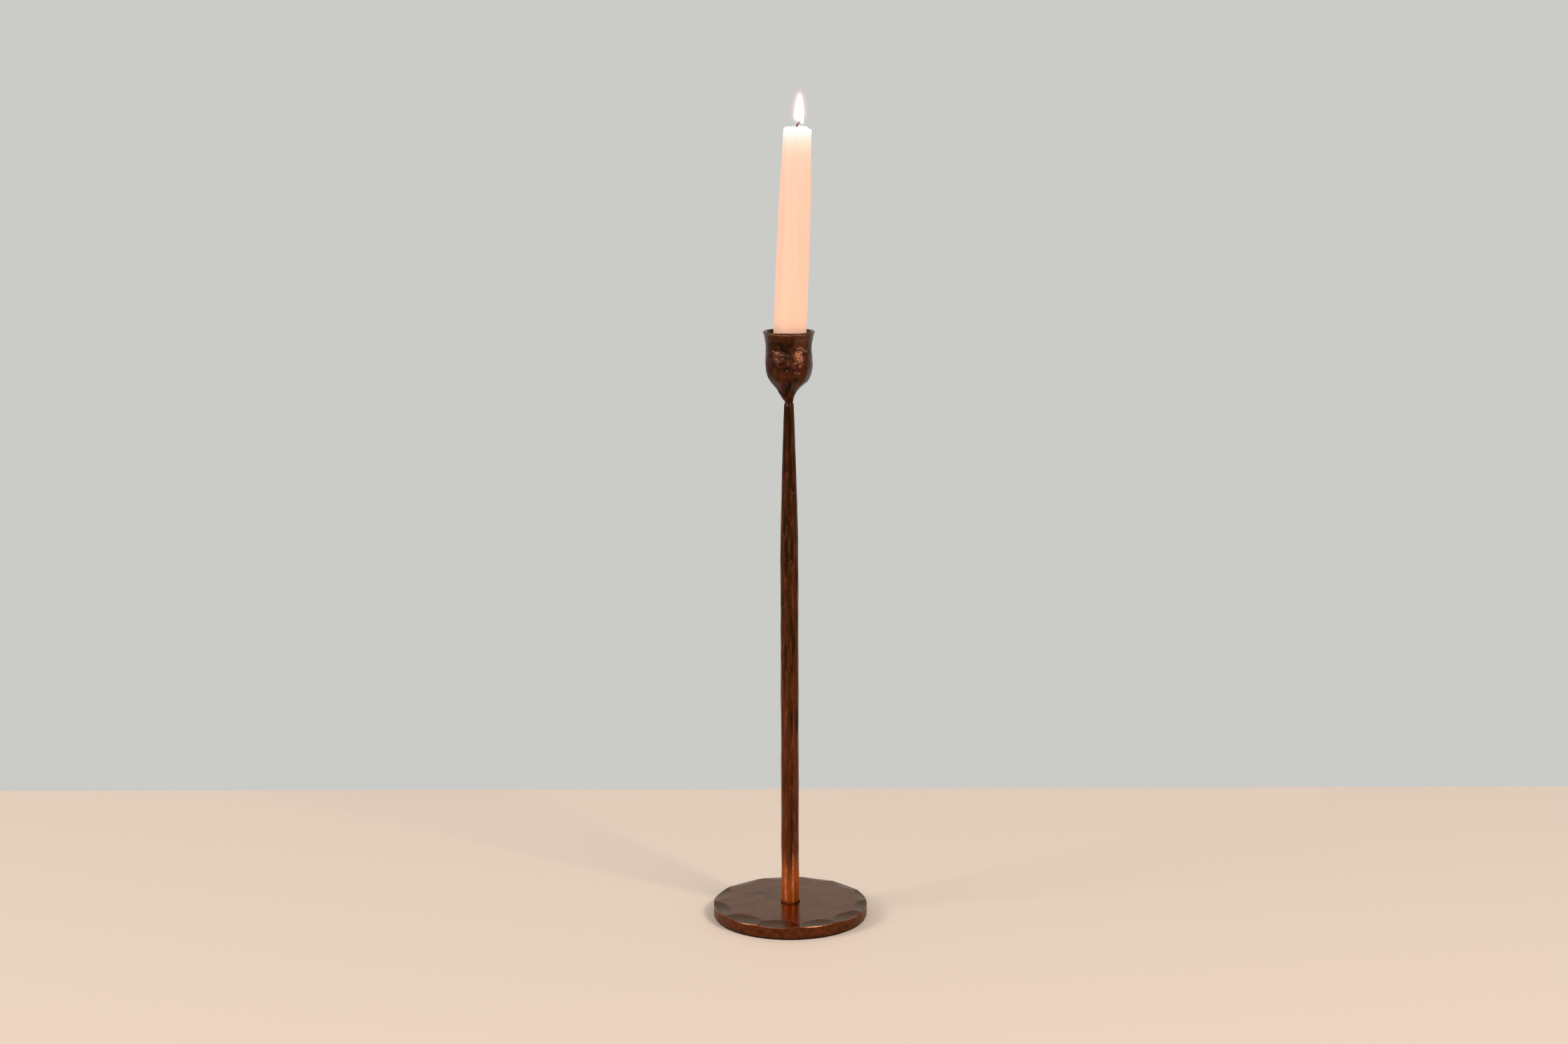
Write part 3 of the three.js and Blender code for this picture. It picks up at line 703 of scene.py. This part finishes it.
def spline(points, count):
    """A smooth curve through points of (radius, height) in millimetres, as rows in metres."""
    points = np.array(points, float) * mm
    padded = np.vstack([2 * points[0] - points[1], points, 2 * points[-1] - points[-2]])
    rows = []
    for i in range(1, len(padded) - 2):
        a, b, c, d = padded[i - 1:i + 3]
        for t in np.linspace(0, 1, count, endpoint=False):
            rows.append(0.5 * (2 * b + (c - a) * t + (2 * a - 5 * b + 4 * c - d) * t ** 2
                               + (3 * b - a - 3 * c + d) * t ** 3))
    rows.append(points[-1])
    return np.array(rows)


def cup_flat(angles, height):
    """The forged cone's soft flats, which fade out towards the neck and the round rim."""
    step = 2 * math.pi / cup_flats
    flat = math.cos(step / 2) / np.cos(angles % step - step / 2)
    fade = ease(height, 0, 8 * mm) * (1 - ease(height, 16 * mm, 36 * mm))
    return 1 + (flat - 1) * cup_flatness * fade


def make_cup():
    """Rings up the outside, round the lip, down the inside and back through the screw hole. The
    outside then gets its waves, bulges, scale and crease, and is painted to match them, with
    painted shade in the crease and inside the cup, and painted glints and a painted highlight on
    the lip."""
    angles = directions(cup_sides)
    outside = spline(cup_points, 26)
    along = np.gradient(outside, axis=0)
    along /= np.linalg.norm(along, axis=1, keepdims=True)
    inside = outside + np.stack([-along[:, 1], along[:, 0]], -1) * cup_wall
    least, highest = cup_inside_reach
    inside = inside[(inside[:, 0] > least) & (inside[:, 1] < highest)][::-1]
    rings = [around(radius * cup_flat(angles, height), cup_neck + height, angles)
             for radius, height in outside]
    rings[0][:, :2] *= cup_point
    rings += [around(radius * mm, cup_neck + height * mm, angles) for radius, height in cup_lip]
    outer = len(rings)
    rings += [around(radius, cup_neck + height, angles) for radius, height in inside]
    for height in (cup_neck + inside[-1, 1], cup_neck):
        rings.append(around(cup_screw_hole_radius, height, angles))
    rings = np.array(rings)
    heights = rings[:, :, 2] - cup_neck
    turns = np.degrees(angles)[None, :] + 90
    radius = np.hypot(rings[..., 0], rings[..., 1])
    skin_only = (np.arange(len(rings)) < outer)[:, None]
    rough = speckle(turns, heights, cup_scale, radius) * skin_only
    rough *= np.clip(0.9 + 0.35 * ripple(rings, 2.2, 44), 0.4, 1.2)
    off_crease = heights - cup_crease - 0.3 * mm * ripple(rings, 7, 45)
    crease = np.exp(-(off_crease / (0.35 * mm)) ** 2)
    crease *= speckle(turns, heights, cup_crease_reach, radius) * skin_only
    grow = ease(heights, 1 * mm, 12 * mm)
    change = 0.07 * mm * ripple(rings, 15, 41) * grow
    change += 0.05 * mm * ripple(rings, 4, 42) * grow
    for *place, amount in cup_bulges:
        change += amount * mm * speckle(turns, heights, [(*place, 1)], radius)
    change += rough * 0.10 * mm * ripple(rings, 1.3, 43) - crease * 0.3 * mm
    change = np.where(skin_only, change, 0)
    rings[..., :2] *= ((radius + change) / radius)[..., None]
    rim = ease(heights, 43 * mm, 46 * mm)
    rings[..., 2] += rim * 0.05 * mm * ripple(rings * (1, 1, 0), 9, 46)
    rings[..., 0] += np.interp(heights, *(np.array(cup_lean).T * mm)) * skin_only
    piece = skin("candle_cup_raised", rings, loop=True)
    darkening = speckle(turns, heights, cup_dark_patches, radius)
    darkening *= np.clip(0.8 + 0.4 * ripple(rings, 3, 47), 0, 1)
    # The dark patches are darker places. The crease is painted dark as painted shade.
    hollow = np.maximum(darkening, crease).clip(0, 1)
    # Darker towards the neck.
    hollow += 0.35 * (1 - ease(heights, 6 * mm, 24 * mm))
    # Painted shade all over the inside of the cup.
    paint(piece, "hollow", np.maximum(hollow, ~skin_only * 0.6).clip(0, 1))
    belly = ease(heights, 16 * mm, 24 * mm) * (1 - ease(heights, 33 * mm, 40 * mm))
    belly *= 0.16 + 0.12 * ripple(rings, 5, 50)
    paint(piece, "rough", (rough + belly) * skin_only)
    rubs_and_glints = speckle(turns, heights, cup_rubs_and_glints, radius) * skin_only
    rubs_and_glints *= np.clip(0.75 + 0.6 * ripple(rings, 1.1, 49), 0.1, 1)
    # A painted highlight all round the outer lip.
    lip_highlight = np.exp(-((heights - 45.2 * mm) / (0.32 * mm)) ** 2) * (radius > 15.6 * mm)
    lip_highlight *= 0.7 * (0.8 + 0.3 * ripple(rings, 9, 48)).clip(0)
    paint(piece, "wear_and_highlight", rubs_and_glints + lip_highlight)
    return piece


copper_on_cup = antiqued_copper(
    "antiqued_copper_on_cup", ("1d1610", "553018", "693222", "693222", "bd8062", "b89a8c"),
    sooted=0.75, grained=0.35, roughness=0.25, relief=0.3 * mm, edge_tint="ffffff")
dress(make_cup(), copper_on_cup, "holder", "candle_cup")


# Felt pad: pressed wool felt dyed black, stuck under the plate a little inside its edge. Short
# fibres stand out of its cut edge, and one tuft has pulled loose at the front.
pad_low, pad_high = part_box("felt_pad")
pad_radius = pad_high[0] - 0.2 * mm
pad_sides = 240
pad_fibres = {
    "Per Square Metre": 4.0e6, "Length": 0.5 * mm, "Thickness": 0.022 * mm,
    "Tuft": (44.9 * mm, -25.4 * mm, 0.6 * mm), "Tuft Size": 1.3 * mm,
    "Lowest": 0.02 * mm, "Highest": 1.15 * mm, "Seed": 5,
}


def make_pad():
    """The pad's soft, slightly rounded edge, without its fibres."""
    angles = directions(pad_sides)
    rings = []
    for share, inset in ((0, 0.3), (0.15, 0.08), (0.5, 0), (0.85, 0.08), (1, 0.25)):
        height = pad_low[2] + share * (pad_high[2] - pad_low[2])
        ring = around(pad_radius, height, angles)
        wobble = 0.10 * mm * ripple(ring, 6, 21) + 0.05 * mm * ripple(ring, 1.2, 22)
        rings.append(around(pad_radius - inset * mm + wobble, height, angles))
    return skin("felt_pad_pressed", np.array(rings), loop=False)


def pressed_felt():
    """Wool felt, pressed and dyed black: matt, with the mottle of its fibres."""
    material, tree, place = start_material("pressed_wool_felt")
    fibre = noise(tree, place, 0.5, 6, distortion=1.5)
    tone = blend(tree, fibre, linear("050404"), linear("1c1918"))
    relief = add(tree, "ShaderNodeBump", {"Height": fibre, "Distance": 0.15 * mm})
    return end_material(material, {
        "Base Color": tone, "Normal": relief, "Roughness": 0.95, "Specular IOR Level": 0.2,
        "Sheen Weight": 0.03})


def felt_fibres_tree():
    """Fibres: thin cones on the pad's cut edge, longer in the tuft, kept over the table and under
    the plate."""
    tree, given = start_tree("felt_fibres", {
        "Pad": "Geometry", "Per Square Metre": "Float", "Length": "Float", "Thickness": "Float",
        "Tuft": "Vector", "Tuft Size": "Float", "Lowest": "Float", "Highest": "Float",
        "Seed": "Int", "Felt": "Material"}, "Furred")
    normal = add(tree, "GeometryNodeInputNormal")
    level = calc(tree, "ABSOLUTE", split(tree, normal)["Z"])
    cut_edge = calc(tree, "LESS_THAN", level, 0.8)
    roots = add(tree, "GeometryNodeDistributePointsOnFaces", {
        "Mesh": given["Pad"], "Selection": cut_edge, "Density": given["Per Square Metre"],
        "Seed": given["Seed"]})
    hair = add(tree, "GeometryNodeMeshCone", {
        "Vertices": 3, "Side Segments": 3, "Radius Top": 0.004 * mm,
        "Radius Bottom": given["Thickness"], "Depth": given["Length"]})
    spot = add(tree, "GeometryNodeInputPosition")
    from_tuft = calc_way(tree, "DISTANCE", spot, given["Tuft"])
    longer = remap(tree, from_tuft, 0.3 * mm, given["Tuft Size"], 2.6, 1.0)
    uneven = add(tree, "FunctionNodeRandomValue", {2: 0.4, 3: 1.2, "Seed": given["Seed"]})
    size = calc(tree, "MULTIPLY", longer, uneven)
    tilt = add(tree, "FunctionNodeRandomValue", {
        0: (-1.1, -1.1, -3.1), 1: (1.1, 1.1, 3.1), "Seed": given["Seed"]}, data_type="FLOAT_VECTOR")
    turned = add(tree, "FunctionNodeRotateEuler", {
        "Rotation": roots.outputs["Rotation"], "Rotate By": tilt}, space="LOCAL")
    furs = add(tree, "GeometryNodeInstanceOnPoints", {
        "Points": roots.outputs["Points"], "Instance": hair, "Rotation": turned, "Scale": size})
    furs = add(tree, "GeometryNodeRealizeInstances", (furs,))
    place = split(tree, spot)
    above = place["Z"]
    for limit, operation in (("Lowest", "MAXIMUM"), ("Highest", "MINIMUM")):
        above = calc(tree, operation, above, given[limit])
    kept = add(tree, "ShaderNodeCombineXYZ", {"X": place["X"], "Y": place["Y"], "Z": above})
    furs = add(tree, "GeometryNodeSetPosition", {"Geometry": furs, "Position": kept})
    both = add(tree, "GeometryNodeJoinGeometry", (furs,))
    tree.links.new(given["Pad"], both.inputs[0])
    return end_tree(tree, both, given["Felt"])


felt = pressed_felt()
pad = make_pad()
keep_result(pad, felt_fibres_tree(), {**pad_fibres, "Felt": felt})
dress(pad, felt, "holder", "felt_pad")


# Candle: a paraffin dinner candle dipped in peach colour, burnt part of the way down. Light
# goes into the wax, and the wax is painted with a glow all down it, paler and brighter towards the
# top as painted light from the flame. It leans a little, and one side of its top melted lower.
candle_low, candle_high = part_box("candle")
candle_lean = math.radians(2.3)
candle_foot_offset = -0.4 * mm
candle_foot_radius = 10.9 * mm
candle_foot_bevel = 0.6 * mm
candle_length = 163 * mm
# Radius and height over the foot in mm
candle_outline = [(10.9, 0), (10.88, 60), (10.62, 98), (10.45, 113), (10.1, 128), (9.5, 142),
                  (9.22, 152), (9.12, 164)]
candle_seat = candle_low[2] + candle_foot_radius * math.sin(candle_lean)
candle_edge = 2.1 * mm
candle_low_edge = 0.9 * mm
candle_sides = 160
melted_radius = 9 * mm
melted_low_side = 1.75 * mm
melted_high_side = 0.15 * mm
pool_depth = 3.5 * mm
# Radius and height over the pool's floor in mm, from its edge down into the wick's hole
pool_floor = [(5, 0.3), (4.2, 0.05), (3, 0), (1.6, 0.1), (1, 0.3)]
# The wax's colour, paler towards the top as painted light, and its painted glow: at the cup's rim,
# at depths under the top in mm, and at the top
wax_depths = (75, 30, 19, 11, 6, 4, 2)
wax_colours = ("fdd0b6", "fdccb5", "fdcdb9", "fdcdb4", "fdd2ba", "fdd8c2", "fddcc8", "fde2d0",
               "fde4d4")
wax_painted_glow = ("59453c", "59453c", "5c4740", "6c5959", "867c7a", "a697a4", "b3a6b5", "cbc4c0",
            "d4ccc0")


def leaning(points):
    """Points of the candle, standing on its own foot, put where it leans in the cup."""
    x, y, z = np.moveaxis(points, -1, 0)
    along, across = math.cos(candle_lean), math.sin(candle_lean)
    return np.stack([candle_foot_offset + x * along + z * across, y,
                     candle_seat - x * across + z * along], -1)


def candle_radius(height):
    """The candle's radius at a height over its foot."""
    curve = spline(candle_outline, 12)
    return np.interp(height, curve[:, 1], curve[:, 0])


def off_low_side(angles):
    """How many degrees each direction lies off +X, where the wax melted lowest."""
    return np.abs(np.degrees((angles + math.pi) % (2 * math.pi) - math.pi))


def candle_drop(angles):
    """How much lower the melted edge lies in each direction."""
    low = melted_low_side * (1 - ease(off_low_side(angles), 24, 47)) - melted_high_side
    level = low - melted_radius * math.sin(candle_lean) * np.cos(angles)
    return level + 0.08 * mm * ripple(around(melted_radius, 0, angles), 7, 51)


def make_candle():
    """Rings from the wick's hole, out under the foot, up the side, over the melted edge and down
    into the pool."""
    angles = directions(candle_sides)
    drop = candle_drop(angles)
    edge = candle_low_edge + (candle_edge - candle_low_edge) * ease(off_low_side(angles), 20, 55)
    edge_start = candle_length - candle_edge
    rings = [around(1 * mm, 0, angles),
             around(candle_foot_radius - candle_foot_bevel, 0, angles)]
    for height in np.linspace(candle_foot_bevel, edge_start - 3 * mm, 120):
        radius = candle_radius(height)
        ring = around(radius, height, angles)
        wave = 0.05 * mm * ripple(ring * (1, 1, 0.12), 9, 52)
        wave += 0.02 * mm * ripple(ring, 4, 53)
        rings.append(around(radius + wave, height, angles))
    for turn in np.linspace(0, math.pi, 17):
        radius = candle_radius(edge_start) - edge * (1 - math.cos(turn)) * 0.9
        height = candle_length - edge * (1 - math.sin(turn))
        rings.append(around(radius, height - drop, angles))
    for radius, height in pool_floor:
        height = candle_length - pool_depth + height * mm
        rings.append(around(radius * mm, height, angles))
    return skin("candle_wax", leaning(np.array(rings)), loop=True)


def peach_wax():
    """Paraffin wax, dipped: soft gloss, light scattered inside it, and a painted glow all down it,
    brightest near the flame.
    """
    material, tree, place = start_material("dipped_paraffin_wax")
    height = split(tree, place)["Z"]
    up_the_candle = remap(tree, height, cup_rim, candle_high[2])
    tone, painted_glow = [add(tree, "ShaderNodeValToRGB", {"Fac": up_the_candle}) for _ in range(2)]
    for ramp, colours in ((tone, wax_colours), (painted_glow, wax_painted_glow)):
        stops = ramp.color_ramp.elements
        stops[0].color, stops[1].color = linear(colours[0]), linear(colours[-1])
        for below, colour in zip(wax_depths, colours[1:-1]):
            stops.new(1 - below * mm / (candle_high[2] - cup_rim)).color = linear(colour)
    drawn_out = add(tree, "ShaderNodeMapping", {"Vector": place, "Scale": (1, 1, 0.02)})
    streaks = noise(tree, drawn_out, 2.5, 3)
    faint = remap(tree, streaks, 0.3, 0.7, 0.93, 1.0)
    wax = blend(tree, 1.0, tone, faint, blend_type="MULTIPLY")
    return end_material(material, {
        "Base Color": wax, "Emission Color": painted_glow, "Emission Strength": 1.0, "Roughness": 0.42,
        "IOR": 1.44, "Subsurface Weight": 0.35, "Subsurface Radius": (1.0, 0.55, 0.35),
        "Subsurface Scale": 5 * mm})


dress(make_candle(), peach_wax(), "candle", "candle")


# Wick: a cord braided from cotton, waxed and buried in the candle. Over the melted pool it has
# charred and curled towards the low side, and its tip still glows.
wick_start = 0.5 * mm
wick_shoulder = candle_length + 0.3 * mm
wick_bow = 0.6 * mm
wick_curl_radius = 2 * mm
wick_curl_angle = math.radians(38)
wick_tip_length = 2.4 * mm
wick_sizes = {"Strands": 3, "Strand Radius": 0.42 * mm, "Braid Radius": 0.38 * mm,
              "Pitch": 4.2 * mm}


def wick_path():
    """Up the candle's core, bowed away from the low side, then over in an arc to a straight tip."""
    points = [(-wick_bow * ease(z, candle_length - 3 * mm, wick_shoulder), 0, z)
              for z in np.linspace(wick_start, wick_shoulder, 160)]
    for turn in np.linspace(0, wick_curl_angle, 9)[1:]:
        points.append((wick_curl_radius * (1 - math.cos(turn)) - wick_bow, 0,
                       wick_shoulder + wick_curl_radius * math.sin(turn)))
    x, _, z = points[-1]
    for along in np.linspace(0, wick_tip_length, 6)[1:]:
        points.append((x + along * math.sin(wick_curl_angle), 0,
                       z + along * math.cos(wick_curl_angle)))
    return leaning(np.array(points))


def charred_cotton():
    """Braided cotton, waxed then burnt: brown in the wax, black over it, with a glowing tip."""
    material, tree, place = start_material("charred_cotton_braid")
    height = split(tree, place)["Z"]
    char = noise(tree, place, 0.4, 4)
    edge = candle_high[2]
    burnt = remap(tree, height, edge - 3 * mm, edge - 0.5 * mm)
    tone = linear("7a4a30")
    for share, colour in ((burnt, "2a1114"), (char, "120a0a")):
        tone = blend(tree, share, tone, linear(colour))
    hot = remap(tree, height, edge + 0.2 * mm, edge + 2.8 * mm, 0, 0.6)
    relief = add(tree, "ShaderNodeBump", {"Height": char, "Distance": 0.1 * mm})
    return end_material(material, {
        "Base Color": tone, "Emission Color": linear("e0603c"), "Emission Strength": hot,
        "Roughness": 0.8, "Normal": relief})


def braid_tree():
    """The braid: each strand is the path moved aside in a figure of eight, one after another."""
    tree, given = start_tree("braid", {
        "Path": "Geometry", "Strands": "Int", "Strand Radius": "Float", "Braid Radius": "Float",
        "Pitch": "Float", "Cotton": "Material"}, "Braid")
    core = add(tree, "GeometryNodeMeshToCurve", (given["Path"],))
    core = add(tree, "GeometryNodeResampleCurve", {"Curve": core, "Count": 420})
    round_strand = add(tree, "GeometryNodeCurvePrimitiveCircle", {
        "Resolution": 7, "Radius": given["Strand Radius"]})
    first_strand, last_strand = repeat_zone(tree, given["Strands"])
    count = first_strand.outputs["Iteration"]
    share = calc(tree, "DIVIDE", count, given["Strands"])
    turns = add(tree, "GeometryNodeSplineParameter").outputs["Length"]
    for value, operation in ((given["Pitch"], "DIVIDE"), (share, "ADD"), (2 * math.pi, "MULTIPLY")):
        turns = calc(tree, operation, turns, value)
    swing = calc(tree, "COSINE", turns)
    over = calc(tree, "MULTIPLY", turns, 2.0)
    over = calc(tree, "SINE", over)
    over = calc(tree, "MULTIPLY", over, 0.7)
    sideways = add(tree, "GeometryNodeInputNormal")
    tangent = add(tree, "GeometryNodeInputTangent")
    across = calc_way(tree, "CROSS_PRODUCT", sideways, tangent)
    swung, crossed = [scale_way(tree, way, size)
                      for way, size in ((sideways, swing), (across, over))]
    offset = calc_way(tree, "ADD", swung, crossed)
    offset = scale_way(tree, offset, given["Braid Radius"])
    strand = add(tree, "GeometryNodeSetPosition", {"Geometry": core, "Offset": offset})
    strand = add(tree, "GeometryNodeCurveToMesh", {
        "Curve": strand, "Profile Curve": round_strand, "Fill Caps": True})
    gathered = add(tree, "GeometryNodeJoinGeometry", (first_strand.outputs["Geometry"],))
    tree.links.new(strand.outputs[0], gathered.inputs[0])
    tree.links.new(gathered.outputs[0], last_strand.inputs["Geometry"])
    braided = add(tree, "GeometryNodeSetShadeSmooth", (last_strand.outputs["Geometry"],))
    return end_tree(tree, braided, given["Cotton"])


cotton = charred_cotton()
path = wick_path()
wick_line = bpy.data.meshes.new("wick_path")
wick_line.from_pydata(path.tolist(), [(i, i + 1) for i in range(len(path) - 1)], [])
wick = put_in_scene("wick_braided", wick_line)
keep_result(wick, braid_tree(), {**wick_sizes, "Cotton": cotton})
dress(wick, cotton, "candle", "wick")


# Flame: not a solid, but part of what is seen. A still, slim tongue, white in its heart, pale
# and clear round the wick, in a thin orange haze that is drawn as a few clear skins.
flame_foot = 532.4 * mm
flame_tip = 554 * mm
flame_sides = 40
flame_levels = 44
# Radius, and how far its middle lies towards +X, in mm at each share of the flame's height
flame_outline = [
    (2.95, 0), (3.15, 0.05), (3.2, 0.12), (3.3, 0.2), (3.25, 0.36), (3.05, 0.5), (2.62, 0.66),
    (2.32, 0.74), (1.95, 0.81), (1.62, 0.87), (1.2, 0.93), (0.92, 0.96), (0.5, 0.99), (0.1, 1),
]
flame_middle = [(6.65, 0), (6.85, 0.2), (7.05, 0.5), (7.3, 0.8), (7.5, 1)]
# Skins: how far each stands out of the flame's outline, and its share of the glowing gas
heart_skins = [(0.0, 1.0)]
haze_skins = [(0.8 * mm, 1.4), (1.7 * mm, 0.9), (2.6 * mm, 0.4)]
haze_foot = 0.14


def make_flame(name, skins):
    """The flame's outline once for each skin, all in one piece."""
    angles = directions(flame_sides)
    parts = []
    for grow, share_of_gas in skins:
        rings = []
        foot = haze_foot if grow else 0
        for share in np.sin(np.linspace(foot, math.pi / 2, flame_levels)):
            radius, middle = [np.interp(share, *np.array(rows).T[::-1]) * mm
                              for rows in (flame_outline, flame_middle)]
            height = flame_foot + (flame_tip + grow * 1.1 - flame_foot) * share
            radius += grow * math.sqrt(1.0001 - share ** 8)
            rings.append(around(radius, height, angles) + (middle, 0, 0))
        parts.append(skin(name, np.array(rings), loop=False))
        paint(parts[-1], "gas", np.full(len(parts[-1].data.vertices), share_of_gas))
    if len(parts) > 1:
        with bpy.context.temp_override(active_object=parts[0], selected_editable_objects=parts):
            bpy.ops.object.join()
    return parts[0]


def burning_gas(name, colours, strength, density, slant, change):
    """Glowing gas: clear round the wick, and in its heart too bright to see through. Colour and
    density go from their first value to their second over a change of height, on a slant."""
    material, tree, place = start_material(name)
    place = split(tree, place)
    height = calc(tree, "MULTIPLY_ADD", place["X"], slant, place["Z"])
    start, end = change
    up = remap(tree, height, flame_foot + start, flame_foot + end,
               interpolation_type="SMOOTHSTEP")
    tone = linear(colours[0])
    for colour in colours[1:]:
        tone = blend(tree, up, tone, linear(colour))
    dense = remap(tree, up, 0, 1, *density)
    gas = add(tree, "ShaderNodeAttribute", attribute_name="gas").outputs["Fac"]
    dense = calc(tree, "MULTIPLY", dense, gas)
    return end_material(material, {
        "Base Color": linear("000000"), "Specular IOR Level": 0.0, "Roughness": 1.0,
        "Emission Color": tone, "Emission Strength": strength, "Alpha": dense})


heart_gas = burning_gas("flame_heart_gas", ("e2dcf4", "fffcf8"), strength=1.3,
                        density=(0.045, 0.97), slant=0.5, change=(5.2 * mm, 9.8 * mm))
haze_gas = burning_gas("flame_haze_gas", ("ffc4a6",), strength=3.6,
                       density=(0.0, 0.02), slant=0.0, change=(3 * mm, 9 * mm))
for name, skins, gas in (("flame_heart", heart_skins, heart_gas),
                         ("flame_haze", haze_skins, haze_gas)):
    flame = make_flame(name, skins)
    flame.data.materials.append(gas)
    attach(flame, "candle")


# Floor, light and camera: a plain pale table, two soft boxes and the wall's grey all round.
floor_left, floor_right, floor_near, floor_far = -6, 6, -6, 0.3
floor_mesh = bpy.data.meshes.new("floor")
floor_mesh.from_pydata([
    (floor_left, floor_near, 0), (floor_right, floor_near, 0),
    (floor_right, floor_far, 0), (floor_left, floor_far, 0)], [], [(0, 1, 2, 3)])
floor = put_in_scene("floor", floor_mesh)
pale = bpy.data.materials.new("pale_floor")
pale.use_nodes = True
pale.node_tree.nodes["Principled BSDF"].inputs["Base Color"].default_value = linear("ead9cb")
pale.node_tree.nodes["Principled BSDF"].inputs["Roughness"].default_value = 0.7
floor_mesh.materials.append(pale)

world = bpy.data.worlds.new("studio")
bpy.context.scene.world = world
world.use_nodes = True
sky = world.node_tree
ray = add(sky, "ShaderNodeLightPath").outputs
seen = ray["Is Camera Ray"]
for kind in ("Is Glossy Ray", "Is Transmission Ray"):
    seen = calc(sky, "MAXIMUM", seen, ray[kind])
strength = remap(sky, seen, 0, 1, 0.75, 1.0)
backing = sky.nodes["Background"]
backing.inputs["Color"].default_value = linear("cbcbc8")
sky.links.new(strength.outputs[0], backing.inputs["Strength"])


def softbox(name, place, aim, size, power, tint):
    """A square lamp at a place, turned to a point."""
    lamp = bpy.data.lights.new(name, "AREA")
    lamp.shape = "SQUARE"
    lamp.size = size
    lamp.energy = power
    lamp.color = linear(tint)[:3]
    light = put_in_scene(name, lamp)
    light.location = place
    x, y, z = np.array(aim) - np.array(place)
    light.rotation_euler = (math.atan2(math.hypot(x, y), -z), 0, math.atan2(y, x) - math.pi / 2)


softbox("key", (1.8, -1.8, 2.35), (0, 0, 0.25), size=0.9, power=60, tint="fff1e2")
softbox("fill", (-2.4, -1.0, 1.5), (0, 0, 0.3), size=1.0, power=36, tint="fff4ea")

camera = bpy.data.cameras.new("camera")
camera.sensor_width = 36
camera.lens = 59.2
camera.clip_start = 0.05
eye = put_in_scene("camera", camera)
eye.location = (-0.0025, -1.683, 0.589)
eye.rotation_euler = (math.radians(79.366), 0.0031, 0)
bpy.context.scene.camera = eye
bpy.context.scene.view_settings.view_transform = "Standard"
